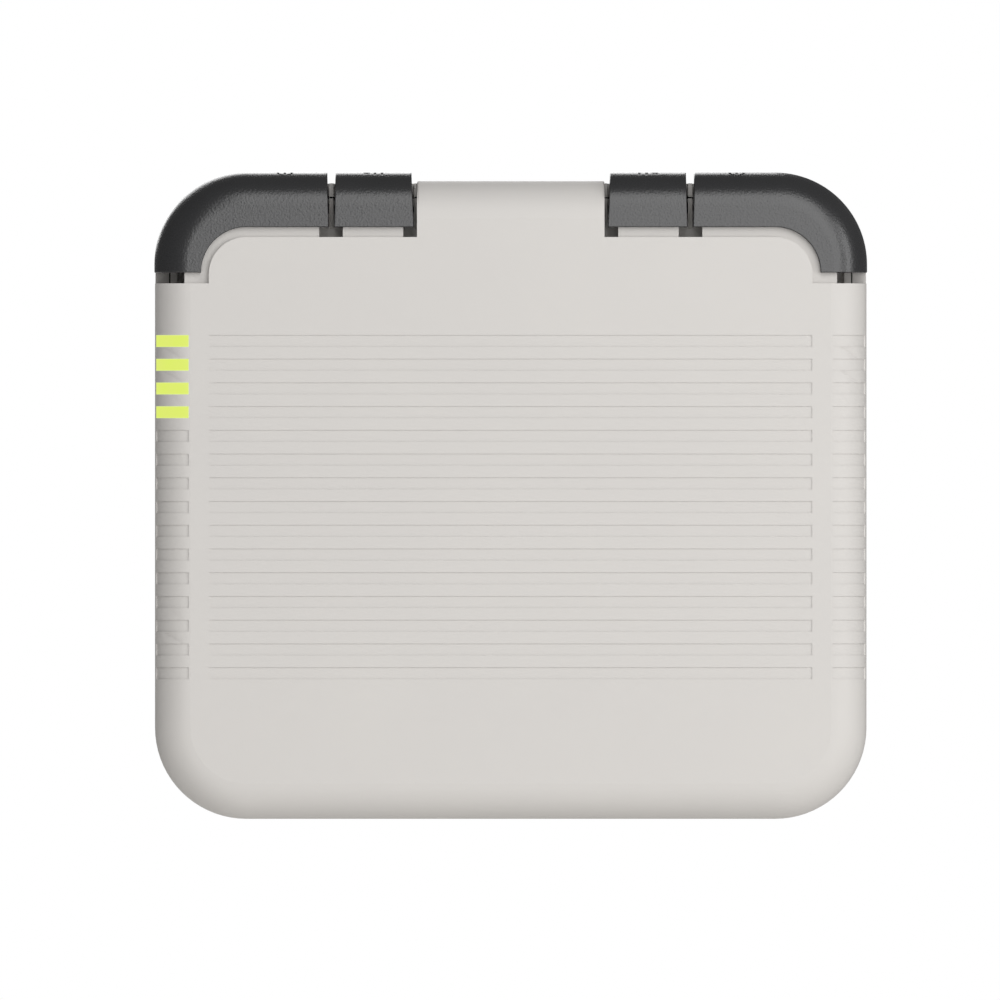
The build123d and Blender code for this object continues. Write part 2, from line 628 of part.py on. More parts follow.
BUTTON_BASE = BAY_BOTTOM - 2.0
with BuildPart() as power_button:
    upright([(BUTTON_X, SOCKET_DEPTH)], BUTTON_R, BUTTON_BASE, BAY_BOTTOM + 5.5)
    fillet(faces().sort_by(Axis.Z)[-1].edges(), 0.8)
    upright([(BUTTON_X, SOCKET_DEPTH)], STEM_R, BAY_BOTTOM - 16, BUTTON_BASE + 0.5)
save(power_button, "power_button")

with BuildPart() as button_spring:
    with BuildLine(Plane(origin=(BUTTON_X, -SOCKET_DEPTH, BAY_BOTTOM - 7.6), z_dir=(0, 0, 1))) as coil:
        Helix(pitch=1.6, height=5.2, radius=3.6)
    with BuildSketch(Plane(origin=coil.line @ 0, z_dir=coil.line % 0)):
        Circle(0.3)
    sweep(path=coil.line, is_frenet=True)
save(button_spring, "button_spring")

# ---- DC breaker: body under the panel, lever through its slot ------------------------------
LEVER_DEPTH = 147.0
LEVER_Z = BAY_BOTTOM + 1.0
LEVER_R = 6.0
with BuildPart() as breaker_body:
    block(BREAKER_X - BREAKER_W / 2, BREAKER_X + BREAKER_W / 2, *BREAKER_SPAN,
          BAY_BOTTOM - 34, BAY_BOTTOM + 4)
    block(BREAKER_X - 3.5, BREAKER_X + 3.5, LEVER_DEPTH - 9, LEVER_DEPTH + 9, BAY_BOTTOM - 8, BAY_BOTTOM + 5,
          Mode.SUBTRACT)
    with BuildSketch(Plane.YZ.offset(BREAKER_X - BREAKER_W / 2 + 1)):
        with Locations((-LEVER_DEPTH, LEVER_Z)):
            Circle(1.0)
    extrude(amount=BREAKER_W - 2, mode=Mode.SUBTRACT)
save(breaker_body, "breaker_body")

with BuildPart() as breaker_pin:
    with BuildSketch(Plane.YZ.offset(BREAKER_X - BREAKER_W / 2 + 1)):
        with Locations((-LEVER_DEPTH, LEVER_Z)):
            Circle(1.0)
    extrude(amount=BREAKER_W - 2)
save(breaker_pin, "breaker_pin")

LEVER_TILT = 25.0
with BuildPart() as breaker_lever:
    with BuildSketch(Plane.YZ.offset(BREAKER_X - 3.0)):
        with Locations((-LEVER_DEPTH, LEVER_Z)):
            Circle(LEVER_R)
        with Locations((-LEVER_DEPTH, LEVER_Z)):
            with Locations(Rotation(0, 0, LEVER_TILT)):
                with Locations((0, 9)):
                    Rectangle(5, 14)
    extrude(amount=6.0)
    with BuildSketch(Plane.YZ.offset(BREAKER_X - 3.0)):
        with Locations((-LEVER_DEPTH, LEVER_Z)):
            Circle(1.0 + PIN_CLEAR)
    extrude(amount=6.0, mode=Mode.SUBTRACT)
save(breaker_lever, "breaker_lever")

# ---- rubber grommets in the cable ducts ----------------------------------------------------
GROMMET_BORE_R = 6.0
GROMMET_T = 14.0
with BuildPart() as cable_grommets:
    duct_mid = (DUCT_TOP + DUCT_BOTTOM) / 2
    for x in bay_ducts:
        block(x - DUCT_HALF, x + DUCT_HALF, BACK, BACK + GROMMET_T, DUCT_BOTTOM, DUCT_TOP)
    grommet_spots = [(x, duct_mid) for x in bay_ducts]
    add(rods(grommet_spots, GROMMET_BORE_R, BACK - 1, BACK + GROMMET_T + 1), mode=Mode.SUBTRACT)
save(cable_grommets, "cable_grommets")

# ---- battery pack --------------------------------------------------------------------------
SPREADER_T = 4.0
CELL_BACK = BACK + WALL + SPREADER_T + 2.0
CELL_FRONT = CELL_BACK + CELL_D
ROW_Z = [PACK_BOTTOM, PACK_BOTTOM + CELL_W + ROW_GAP]
PACK_TOP = ROW_Z[1] + CELL_W
FIRST_CELL = -(CELLS_PER_ROW - 1) / 2 * CELL_PITCH
PACK_HALF = CELLS_PER_ROW * CELL_PITCH / 2
TERMINAL_OUT = 55.0


def cell_x(i):
    """Centre of a cell along its row."""
    return FIRST_CELL + i * CELL_PITCH


for name, z0 in zip(("cells_lower_row", "cells_upper_row"), ROW_Z):
    with BuildPart() as cells:
        with BuildSketch(front_plane(CELL_BACK)):
            with Locations(*[(cell_x(i), z0 + CELL_W / 2) for i in range(CELLS_PER_ROW)]):
                RectangleRounded(CELL_T, CELL_W, 3)
        extrude(amount=CELL_D)
    save(cells, name)

with BuildPart() as cell_spacers:
    for z0 in ROW_Z:
        for i in range(CELLS_PER_ROW - 1):
            x = (cell_x(i) + cell_x(i + 1)) / 2
            block(x - 0.4, x + 0.4, CELL_BACK, CELL_FRONT - 2, z0 + 2, z0 + CELL_W - 2)
save(cell_spacers, "cell_spacers")

TERMINALS = [(cell_x(i), z0 + CELL_W / 2 + side * TERMINAL_OUT)
             for z0 in ROW_Z for i in range(CELLS_PER_ROW) for side in (-1, 1)]
with BuildPart() as cell_terminals:
    add(rods(TERMINALS, 7.0, CELL_FRONT, CELL_FRONT + 3))
save(cell_terminals, "cell_terminals")

BUS_FRONT = CELL_FRONT + 5.0
with BuildPart() as cell_busbars:
    for row_number, z0 in enumerate(ROW_Z):
        for i in range(CELLS_PER_ROW - 1):
            side = 1 if (i + row_number) % 2 else -1
            z = z0 + CELL_W / 2 + side * TERMINAL_OUT
            block(cell_x(i) - 8, cell_x(i + 1) + 8, CELL_FRONT + 3, BUS_FRONT, z - 9, z + 9)
    link_low = ROW_Z[0] + CELL_W / 2 + TERMINAL_OUT
    link_high = ROW_Z[1] + CELL_W / 2 - TERMINAL_OUT
    block(cell_x(CELLS_PER_ROW - 1) - 8, cell_x(CELLS_PER_ROW - 1) + 8, CELL_FRONT + 3, BUS_FRONT,
          link_low - 9, link_high + 9)
save(cell_busbars, "cell_busbars")

with BuildPart() as terminal_nuts:
    add(rods(TERMINALS, 5.0, BUS_FRONT, BUS_FRONT + 4))
save(terminal_nuts, "terminal_nuts")

with BuildPart() as busbar_cover:
    block(-PACK_HALF, PACK_HALF, BUS_FRONT + 5, BUS_FRONT + 6.5, PACK_BOTTOM, PACK_TOP)
save(busbar_cover, "busbar_cover")

with BuildPart() as end_plates:
    for x0, x1 in mirrored(PACK_HALF, PACK_HALF + END_PLATE):
        block(x0, x1, CELL_BACK, CELL_FRONT, PACK_BOTTOM - 8, PACK_TOP + 8)
        rods_z = (PACK_BOTTOM - 4, PACK_TOP + 4)
        for d in (CELL_BACK + 15, CELL_FRONT - 15):
            for z in rods_z:
                with BuildSketch(Plane.YZ.offset(x0)):
                    with Locations((-d, z)):
                        Circle(2.5)
                extrude(amount=END_PLATE, mode=Mode.SUBTRACT)
save(end_plates, "end_plates")

with BuildPart() as tie_rods:
    for d in (CELL_BACK + 15, CELL_FRONT - 15):
        for z in (PACK_BOTTOM - 4, PACK_TOP + 4):
            with BuildSketch(Plane.YZ.offset(-PACK_HALF - END_PLATE - 6)):
                with Locations((-d, z)):
                    Circle(2.5)
            extrude(amount=2 * (PACK_HALF + END_PLATE + 6))
save(tie_rods, "tie_rods")

SPREADER_TOP = 66.0
with BuildPart() as heat_spreader:
    block(-PACK_HALF - 30, PACK_HALF + 30, BACK + WALL, BACK + WALL + SPREADER_T,
          PACK_BOTTOM - 6, SPREADER_TOP)
    add(rods(HANGER_SPOTS, 2.5, BACK, BACK + 20), mode=Mode.SUBTRACT)
save(heat_spreader, "heat_spreader")

with BuildPart() as thermal_pad:
    block(-PACK_HALF, PACK_HALF, BACK + WALL + SPREADER_T, CELL_BACK, PACK_BOTTOM, PACK_TOP)
save(thermal_pad, "thermal_pad")

with BuildPart() as pack_brackets:
    for x0, x1 in mirrored(PACK_HALF + END_PLATE, PACK_HALF + END_PLATE + 3):
        for z in (PACK_BOTTOM + 40, PACK_TOP - 40):
            block(x0, x1, CELL_BACK - 2, CELL_BACK + 30, z - 15, z + 15)
    for x0, x1 in mirrored(PACK_HALF + END_PLATE, PACK_HALF + END_PLATE + 18):
        for z in (PACK_BOTTOM + 40, PACK_TOP - 40):
            block(x0, x1, CELL_BACK - 2, CELL_BACK + 1, z - 15, z + 15)
save(pack_brackets, "pack_brackets")

# ---- electronics above the pack ------------------------------------------------------------
TRAY_DEPTH = 60.0
TRAY_Z = (PACK_TOP + 14, SPREADER_TOP - 2)
TRAY_X = 212.0
POST_SPOTS = [(x, z) for x in (-190, 190) for z in (TRAY_Z[0] + 12, TRAY_Z[1] - 12)]
with BuildPart() as electronics_tray:
    block(-TRAY_X, TRAY_X, TRAY_DEPTH, TRAY_DEPTH + 2, *TRAY_Z)
    add(rods(POST_SPOTS, 3.0, TRAY_DEPTH - 1, TRAY_DEPTH + 3), mode=Mode.SUBTRACT)
save(electronics_tray, "electronics_tray")

TRAY_FRONT = TRAY_DEPTH + 2.0
BMS_X = (60.0, 178.0)
with BuildPart() as bms_board:
    block(*BMS_X, TRAY_FRONT + 10, TRAY_FRONT + 11.6, TRAY_Z[0] + 4, TRAY_Z[1] - 4)
save(bms_board, "bms_board")

BMS_SPOTS = [(x, z) for x in (BMS_X[0] + 6, BMS_X[1] - 6) for z in (TRAY_Z[0] + 10, TRAY_Z[1] - 10)]
with BuildPart() as standoffs:
    add(rods(BMS_SPOTS, 3.0, TRAY_FRONT, TRAY_FRONT + 10))
    add(rods(POST_SPOTS, 5.0, BACK + WALL + SPREADER_T, TRAY_DEPTH))
    add(rods(POST_SPOTS, 3.0, TRAY_DEPTH, TRAY_DEPTH + 4))
save(standoffs, "standoffs")

BMS_FRONT = TRAY_FRONT + 11.6
with BuildPart() as bms_heat_sink:
    block(75, 125, BMS_FRONT, BMS_FRONT + 4, 0, 52)
    for i in range(8):
        block(75 + i * 6.6, 76.6 + i * 6.6, BMS_FRONT + 3, BMS_FRONT + 20, 0, 52)
save(bms_heat_sink, "bms_heat_sink")

with BuildPart() as bms_components:
    block(134, 146, BMS_FRONT, BMS_FRONT + 2, 36, 48)
    block(134, 142, BMS_FRONT, BMS_FRONT + 2, 16, 24)
    block(150, 166, BMS_FRONT, BMS_FRONT + 9, -2, 8)
    block(150, 166, BMS_FRONT, BMS_FRONT + 9, 42, 52)
    add(rods([(155, 18), (165, 18), (155, 29), (165, 29)], 4.0, BMS_FRONT, BMS_FRONT + 12))
save(bms_components, "bms_components")

CONTACTOR_X = (-180.0, -128.0)
CONTACTOR_POLES = (-170.0, -142.0)
POLE_FRONT = TRAY_FRONT + 54.0
with BuildPart() as contactor:
    block(*CONTACTOR_X, TRAY_FRONT, TRAY_FRONT + 48, -6, 46)
    add(rods([(x, 34) for x in CONTACTOR_POLES], 4.0, TRAY_FRONT + 48, POLE_FRONT))
save(contactor, "contactor")

FUSE_X = (-107.0, -63.0)
FUSE_DEPTH = TRAY_FRONT + 18.0
with BuildPart() as main_fuse:
    block(FUSE_X[0] - 6, FUSE_X[1] + 6, TRAY_FRONT, TRAY_FRONT + 8, 20, 44)
    with BuildSketch(Plane.YZ.offset(FUSE_X[0])):
        with Locations((-FUSE_DEPTH, 32)):
            Circle(10)
    extrude(amount=FUSE_X[1] - FUSE_X[0])
save(main_fuse, "main_fuse")

with BuildPart() as current_shunt:
    block(-50, -34, TRAY_FRONT, TRAY_FRONT + 12, 22, 42)
    block(18, 34, TRAY_FRONT, TRAY_FRONT + 12, 22, 42)
    block(-34, 18, TRAY_FRONT + 3, TRAY_FRONT + 9, 27, 37)
save(current_shunt, "current_shunt")

# copper bars from the pack's free terminals to the contactor, on to the fuse, and to the shunt
BAR_T = 3.0
LOW_BAR_Z = -8.0             # the negative bar passes under the contactor
SHUNT_FRONT = TRAY_FRONT + 12.0
BAR_REAR = CELL_FRONT + 3.0
TERMINAL_RIGHT = cell_x(0) + 8.0
POSITIVE_Z = ROW_Z[1] + CELL_W / 2 - TERMINAL_OUT
NEGATIVE_Z = ROW_Z[0] + CELL_W / 2 + TERMINAL_OUT
with BuildPart() as power_bars:
    block(-200, TERMINAL_RIGHT, BAR_REAR, BUS_FRONT, POSITIVE_Z - 9, POSITIVE_Z + 9)
    block(-200, -189, BAR_REAR, BUS_FRONT, POSITIVE_Z - 9, 42)
    block(-200, -189, POLE_FRONT, BUS_FRONT, 42 - BAR_T, 42)
    block(-200, CONTACTOR_POLES[0] + 6, POLE_FRONT, POLE_FRONT + BAR_T, 26, 42)
    block(CONTACTOR_POLES[1] - 6, -122, POLE_FRONT, POLE_FRONT + BAR_T, 26, 42)
    block(-122 - BAR_T, -122, FUSE_DEPTH, POLE_FRONT + BAR_T, 26, 42)
    block(-122 - BAR_T, FUSE_X[0], FUSE_DEPTH, FUSE_DEPTH + BAR_T, 26, 38)
    block(-214, TERMINAL_RIGHT, BAR_REAR, BUS_FRONT, NEGATIVE_Z - 9, NEGATIVE_Z + 9)
    block(-214, -203, BAR_REAR, BUS_FRONT, NEGATIVE_Z - 9, LOW_BAR_Z)
    block(-214, -203, 100, BUS_FRONT, LOW_BAR_Z - BAR_T, LOW_BAR_Z)
    block(-214, -36, 100, 112, LOW_BAR_Z - BAR_T, LOW_BAR_Z)
    block(-48, -36, SHUNT_FRONT, 112, LOW_BAR_Z - BAR_T, LOW_BAR_Z)
    block(-48, -36, SHUNT_FRONT, SHUNT_FRONT + BAR_T, LOW_BAR_Z - BAR_T, 40)
save(power_bars, "power_bars")

# ---- leads from the fuse and the shunt to the DC sockets, clipped inside the housing --------
LEAD_R = 3.5
SOCKET_BASE = SOCKET_TOP - SOCKET_BORE - 16.0


def lead(points, radii):
    """A fixed lead: straight runs joined by tangent arcs."""
    with BuildPart() as tube:
        with BuildLine() as route:
            FilletPolyline(*points, radius=radii)
        with BuildSketch(Plane(origin=route.line @ 0, z_dir=route.line % 0)):
            Circle(LEAD_R)
        sweep(path=route.line)
    return tube.part


with BuildPart() as dc_leads:
    add(lead([(FUSE_X[1], -FUSE_DEPTH, 32), (FUSE_X[1] + 8, -FUSE_DEPTH, 32), (FUSE_X[1] + 8, -132, 44),
              (DC_X[0], -SOCKET_DEPTH, 47), (DC_X[0], -SOCKET_DEPTH, SOCKET_BASE)], 4.5))
    add(lead([(34, -TRAY_FRONT - 6, 32), (44, -TRAY_FRONT - 6, 32), (44, -125, 56),
              (DC_X[1], -SOCKET_DEPTH, 58), (DC_X[1], -SOCKET_DEPTH, SOCKET_BASE)], 4.5))
save(dc_leads, "dc_leads")

# ---- wall bracket and hanger ---------------------------------------------------------------
SHEET = 3.0
SLOT_X = 200.0
SLOT_Z = 30.0
SLOT_R = 4.5
SLOT_LEN = 19.0
BRACKET_HALF = 230.0
BRACKET_Z = (-50.0, 50.0)
HOOK_TOP = 68.0
HANGER_HALF = 215.0
LOCK_X = 120.0
LOCK_DEPTH = 10.0
LOCK_R = 2.5
LOCK_SPOTS = [(-LOCK_X, LOCK_DEPTH), (LOCK_X, LOCK_DEPTH)]
FLANGE_Z = BRACKET_Z[0]

with BuildPart() as wall_bracket:
    block(-BRACKET_HALF, BRACKET_HALF, 0, SHEET, *BRACKET_Z)
    block(-BRACKET_HALF, BRACKET_HALF, 0, 12, BRACKET_Z[1] - SHEET, BRACKET_Z[1])
    block(-BRACKET_HALF, BRACKET_HALF, 9, 12, BRACKET_Z[1] - SHEET, HOOK_TOP)
    block(-BRACKET_HALF, BRACKET_HALF, 0, 16, FLANGE_Z, FLANGE_Z + SHEET)
    with BuildSketch(front_plane(-1)):
        with Locations(*[(x, z) for x in (-SLOT_X, SLOT_X) for z in (-SLOT_Z, SLOT_Z)]):
            SlotOverall(SLOT_LEN, 2 * SLOT_R)
    extrude(amount=SHEET + 2, mode=Mode.SUBTRACT)
    upright(LOCK_SPOTS, LOCK_R, FLANGE_Z - 1, FLANGE_Z + SHEET + 1, Mode.SUBTRACT)
save(wall_bracket, "wall_bracket")

with BuildPart() as hanger_rail:
    block(-HANGER_HALF, HANGER_HALF, BACK - SHEET, BACK, FLANGE_Z + SHEET, HOOK_TOP + SHEET)
    block(-HANGER_HALF, HANGER_HALF, 5, BACK, HOOK_TOP, HOOK_TOP + SHEET)
    block(-HANGER_HALF, HANGER_HALF, 5, 8, HOOK_TOP - 12, HOOK_TOP + SHEET)
    block(-HANGER_HALF, HANGER_HALF, 4, BACK, FLANGE_Z + SHEET, FLANGE_Z + 2 * SHEET)
    add(rods(HANGER_SPOTS, 2.5, BACK - SHEET - 1, BACK + 1), mode=Mode.SUBTRACT)
    upright(LOCK_SPOTS, LOCK_R, FLANGE_Z, FLANGE_Z + 9, Mode.SUBTRACT)
save(hanger_rail, "hanger_rail")

with BuildPart() as hanger_screws:
    add(rods(HANGER_SPOTS, 4.5, BACK - SHEET - 3.5, BACK - SHEET))
    add(rods(HANGER_SPOTS, 2.5, BACK - SHEET, BACK + WALL + SPREADER_T))
save(hanger_screws, "hanger_screws")

with BuildPart() as locking_screws:
    upright(LOCK_SPOTS, 4.5, FLANGE_Z - 5, FLANGE_Z)
    upright(LOCK_SPOTS, LOCK_R, FLANGE_Z, FLANGE_Z + 12)
save(locking_screws, "locking_screws")

BUMPERS = [(-220, BOTTOM + 70), (220, BOTTOM + 70)]
with BuildPart() as wall_bumpers:
    add(rods(BUMPERS, 14.0, 0, BACK))
save(wall_bumpers, "wall_bumpers")

with BuildPart() as pressure_vent:
    add(rods([VENT], VENT_R, BACK - 4, BACK))
    add(rods([VENT], VENT_R - 4, BACK, BACK + WALL + 3))
save(pressure_vent, "pressure_vent")
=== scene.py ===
"""Looks of the wall battery unit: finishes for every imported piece, small fittings, studio and camera."""
import math

import bmesh
import bpy
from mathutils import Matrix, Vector


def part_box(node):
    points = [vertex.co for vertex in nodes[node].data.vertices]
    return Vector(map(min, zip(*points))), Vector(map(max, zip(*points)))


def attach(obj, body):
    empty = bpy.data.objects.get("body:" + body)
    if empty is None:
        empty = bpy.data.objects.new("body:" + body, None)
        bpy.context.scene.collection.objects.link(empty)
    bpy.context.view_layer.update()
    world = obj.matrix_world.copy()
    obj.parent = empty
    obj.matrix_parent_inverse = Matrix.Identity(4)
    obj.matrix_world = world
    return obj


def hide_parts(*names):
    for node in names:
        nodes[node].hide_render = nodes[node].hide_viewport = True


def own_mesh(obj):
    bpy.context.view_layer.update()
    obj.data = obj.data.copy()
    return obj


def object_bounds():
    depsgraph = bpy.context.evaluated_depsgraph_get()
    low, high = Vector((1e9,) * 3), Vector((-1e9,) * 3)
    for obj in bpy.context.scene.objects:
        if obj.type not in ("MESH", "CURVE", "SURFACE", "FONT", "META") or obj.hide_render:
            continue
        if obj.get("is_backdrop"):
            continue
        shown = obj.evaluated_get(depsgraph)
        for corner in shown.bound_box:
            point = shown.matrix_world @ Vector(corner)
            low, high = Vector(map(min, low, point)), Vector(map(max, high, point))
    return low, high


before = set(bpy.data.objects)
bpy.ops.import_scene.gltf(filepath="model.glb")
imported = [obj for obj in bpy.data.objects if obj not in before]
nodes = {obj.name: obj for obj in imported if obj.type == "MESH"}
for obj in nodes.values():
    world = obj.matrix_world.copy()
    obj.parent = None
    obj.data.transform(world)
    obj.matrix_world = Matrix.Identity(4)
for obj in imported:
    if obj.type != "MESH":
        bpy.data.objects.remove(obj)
cad_low, cad_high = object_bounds()

# ---- Camera and studio ----------------------------------------------------------------------
# A long lens stands square to the front. One very large soft box fills the front from low to
# high, one stands to the right, one lights the back, and the room itself glows.
# The backdrop is plain white, and a small pale floor lies below.
VIEW_WIDTH = 0.8427           # metres seen from side to side
CAMERA_AWAY = 40.0
VIEW_LEFT = 0.00906           # the view's middle is this far left of the unit's
VIEW_BELOW_TOP = 0.2761       # and this far below the caps' top
ROOM_GLOW = 0.42              # what the walls add to matt surfaces
ROOM_GLEAM = 0.12             # what they add to reflections; they are darker than the soft boxes


def linear(hex_code):
    """An sRGB hex colour as linear red, green, blue and alpha."""
    channels = [int(hex_code[i:i + 2], 16) / 255 for i in (1, 3, 5)]
    return [c / 12.92 if c <= 0.04045 else ((c + 0.055) / 1.055) ** 2.4 for c in channels] + [1.0]


def add_node(tree, kind, inputs=None, **settings):
    """Adds one node to a tree, with its settings, and its inputs as values or links."""
    made = tree.nodes.new(kind)
    for name, value in settings.items():
        setattr(made, name, value)
    for socket, value in (inputs or {}).items():
        if isinstance(value, bpy.types.NodeSocket):
            tree.links.new(value, made.inputs[socket])
        else:
            made.inputs[socket].default_value = value
    return made


lens = bpy.data.cameras.new("studio_camera")
lens.sensor_width = 36.0
lens.lens = lens.sensor_width * CAMERA_AWAY / VIEW_WIDTH
camera = bpy.data.objects.new("studio_camera", lens)
camera.location = (-VIEW_LEFT, cad_low.y - CAMERA_AWAY, cad_high.z - VIEW_BELOW_TOP)
camera.rotation_euler = (math.radians(90), 0, 0)
bpy.context.scene.collection.objects.link(camera)
bpy.context.scene.camera = camera
bpy.context.scene.view_settings.view_transform = "Standard"

world = bpy.data.worlds.new("white_studio")
bpy.context.scene.world = world
world.use_nodes = True
world.node_tree.nodes.clear()
ray = add_node(world.node_tree, "ShaderNodeLightPath")
glow = add_node(world.node_tree, "ShaderNodeBackground", {"Color": linear("#ffffff"), "Strength": ROOM_GLOW})
gleam = add_node(world.node_tree, "ShaderNodeBackground",
                 {"Color": linear("#ffffff"), "Strength": ROOM_GLEAM})
backdrop = add_node(world.node_tree, "ShaderNodeBackground", {"Color": linear("#ffffff"), "Strength": 1.0})
room = add_node(world.node_tree, "ShaderNodeMixShader",
                {0: ray.outputs["Is Glossy Ray"], 1: glow.outputs[0], 2: gleam.outputs[0]})
seen = add_node(world.node_tree, "ShaderNodeMixShader",
                {0: ray.outputs["Is Camera Ray"], 1: room.outputs[0], 2: backdrop.outputs[0]})
add_node(world.node_tree, "ShaderNodeOutputWorld", {"Surface": seen.outputs[0]})


def soft_box(name, place, width, height, watts):
    """A rectangular soft light aimed at the unit's middle."""
    data = bpy.data.lights.new(name, "AREA")
    data.shape = "RECTANGLE"
    data.size = width
    data.size_y = height
    data.energy = watts
    lamp = bpy.data.objects.new(name, data)
    lamp.location = place
    aim = (cad_low + cad_high) / 2 - lamp.location
    lamp.rotation_euler = aim.to_track_quat("-Z", "Y").to_euler()
    bpy.context.scene.collection.objects.link(lamp)


soft_box("front_box", place=(0.85, -4.0, 1.05), width=3.1, height=4.9, watts=134)
soft_box("right_box", place=(3.3, -2.6, 0.5), width=1.5, height=2.8, watts=46)
soft_box("back_box", place=(-1.0, 3.6, 1.6), width=2.6, height=2.6, watts=60)

FLOOR_SIDE = 4.0
FLOOR_DROP = 0.45
bpy.ops.object.select_all(action="DESELECT")
bpy.ops.mesh.primitive_plane_add(size=FLOOR_SIDE, location=(0, 0, cad_low.z - FLOOR_DROP))
floor = bpy.context.object
floor.name = "floor"


def empty_material(name):
    """A new material with nothing in its tree but the object's own coordinates."""
    mat = bpy.data.materials.new(name)
    mat.use_nodes = True
    mat.node_tree.nodes.clear()
    coords = add_node(mat.node_tree, "ShaderNodeTexCoord").outputs["Object"]
    return mat, mat.node_tree, coords


floor_paint, floor_tree, floor_coords = empty_material("matt_floor_paint")
floor_drift = add_node(floor_tree, "ShaderNodeTexNoise", {"Vector": floor_coords, "Scale": 3.0})
floor_tone = add_node(floor_tree, "ShaderNodeMix",
                      {0: floor_drift.outputs[0], 6: linear("#eceae7"), 7: linear("#f6f5f3")},
                      data_type="RGBA")
floor_shader = add_node(floor_tree, "ShaderNodeBsdfPrincipled",
                        {"Base Color": floor_tone.outputs[2], "Roughness": 0.9})
add_node(floor_tree, "ShaderNodeOutputMaterial", {"Surface": floor_shader.outputs[0]})
floor.data.materials.append(floor_paint)
floor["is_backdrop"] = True

# ---- Front and rear housings ----------------------------------------------------------------
# Two large injection mouldings in UV-stable PC-ABS, warm light grey all through. The moulds are
# spark-eroded, which leaves an even satin grain; the colour drifts very slightly over a moulding.
HOUSING_GRAIN_MM = 1.1
HOUSING_GRAIN_DEEP_MM = 0.012
HOUSING_DRIFT_MM = 140


def moulded_plastic(name, dark, light, roughness, grain_mm, grain_deep_mm, drift_mm, gloss=0.5):
    """A textured moulding: slow colour drift, uneven sheen and a fine grain from the mould."""
    mat, tree, coords = empty_material(name)
    drift = add_node(tree, "ShaderNodeTexNoise",
                     {"Vector": coords, "Scale": 1000 / drift_mm, "Detail": 3.0, "Roughness": 0.6})
    colour = add_node(tree, "ShaderNodeMix", {0: drift.outputs["Fac"], 6: linear(dark), 7: linear(light)},
                      data_type="RGBA")
    pits = add_node(tree, "ShaderNodeTexNoise",
                    {"Vector": coords, "Scale": 1000 / grain_mm, "Detail": 2.0, "Roughness": 0.55})
    sheen = add_node(tree, "ShaderNodeMapRange",
                     {"Value": pits.outputs["Fac"], "To Min": roughness + 0.05, "To Max": roughness - 0.05})
    relief = add_node(tree, "ShaderNodeBump",
                      {"Strength": 1.0, "Distance": grain_deep_mm / 1000, "Height": pits.outputs["Fac"]})
    shader = add_node(tree, "ShaderNodeBsdfPrincipled",
                      {"Base Color": colour.outputs[2], "Roughness": sheen.outputs[0], "IOR": 1.5,
                       "Specular IOR Level": gloss, "Normal": relief.outputs[0]})
    add_node(tree, "ShaderNodeOutputMaterial", {"Surface": shader.outputs[0]})
    return mat


def finish(mat, *names):
    """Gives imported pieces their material."""
    for name in names:
        for slot in nodes[name].material_slots:
            slot.material = mat


housing_plastic = moulded_plastic("spark_textured_pc_abs_light_grey", "#bdbab7", "#c1beba", 0.55,
                                  HOUSING_GRAIN_MM, HOUSING_GRAIN_DEEP_MM, HOUSING_DRIFT_MM)
finish(housing_plastic, "front_housing", "rear_housing")

# ---- Port caps ------------------------------------------------------------------------------
# Four hinged covers moulded in glass-filled nylon, near black. The mould carries a soft leather
# grain, so a broad light breaks up over the flat front while the rounded edge stays dark.
CAP_GRAIN_MM = 1.9
CAP_GRAIN_DEEP_MM = 0.22
CAP_DRIFT_MM = 60

cap_plastic = moulded_plastic("leather_grained_nylon_near_black", "#272728", "#2c2c2d", 0.28,
                              CAP_GRAIN_MM, CAP_GRAIN_DEEP_MM, CAP_DRIFT_MM, gloss=0.68)
CAPS = [name for name in nodes if name.startswith("cap_") and "seal" not in name and "pins" not in name]
finish(cap_plastic, *CAPS)

# ---- Charge windows -------------------------------------------------------------------------
# Clear lime-tinted acrylic lenses, pressed into the four top grooves on the left. The light pipe
# behind each one fills it, and its moulded edges glow a shade brighter than its middle.
WINDOW_PITCH = 0.020
WINDOW_HALF = 0.005
EDGE_GLOW_MM = 0.9
window_low, window_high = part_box("charge_windows")

lit_lens, lit_tree, lit_coords = empty_material("lit_lime_acrylic")
lit_place = add_node(lit_tree, "ShaderNodeSeparateXYZ", {0: lit_coords})
above_low = add_node(lit_tree, "ShaderNodeMath", {0: lit_place.outputs["Z"], 1: window_low.z},
                     operation="SUBTRACT")
in_row = add_node(lit_tree, "ShaderNodeMath", {0: above_low.outputs[0], 1: WINDOW_PITCH}, operation="MODULO")
from_middle = add_node(lit_tree, "ShaderNodeMath", {0: in_row.outputs[0], 1: WINDOW_HALF},
                       operation="SUBTRACT")
off_middle = add_node(lit_tree, "ShaderNodeMath", {0: from_middle.outputs[0]}, operation="ABSOLUTE")
row_edge = add_node(lit_tree, "ShaderNodeMapRange",
                    {"Value": off_middle.outputs[0], "From Min": WINDOW_HALF - EDGE_GLOW_MM / 1000,
                     "From Max": WINDOW_HALF})
end_edge = add_node(lit_tree, "ShaderNodeMapRange",
                    {"Value": lit_place.outputs["X"], "From Min": window_high.x - EDGE_GLOW_MM / 1000,
                     "From Max": window_high.x})
lit_edge = add_node(lit_tree, "ShaderNodeMath", {0: row_edge.outputs[0], 1: end_edge.outputs[0]},
                    operation="MAXIMUM")
cloud = add_node(lit_tree, "ShaderNodeTexNoise", {"Vector": lit_coords, "Scale": 90.0, "Detail": 1.0})
lit_middle = add_node(lit_tree, "ShaderNodeMix",
                      {0: cloud.outputs["Fac"], 6: linear("#e2f56c"), 7: linear("#e5f178")}, data_type="RGBA")
lit_colour = add_node(lit_tree, "ShaderNodeMix",
                      {0: lit_edge.outputs[0], 6: lit_middle.outputs[2], 7: linear("#edff93")},
                      data_type="RGBA")
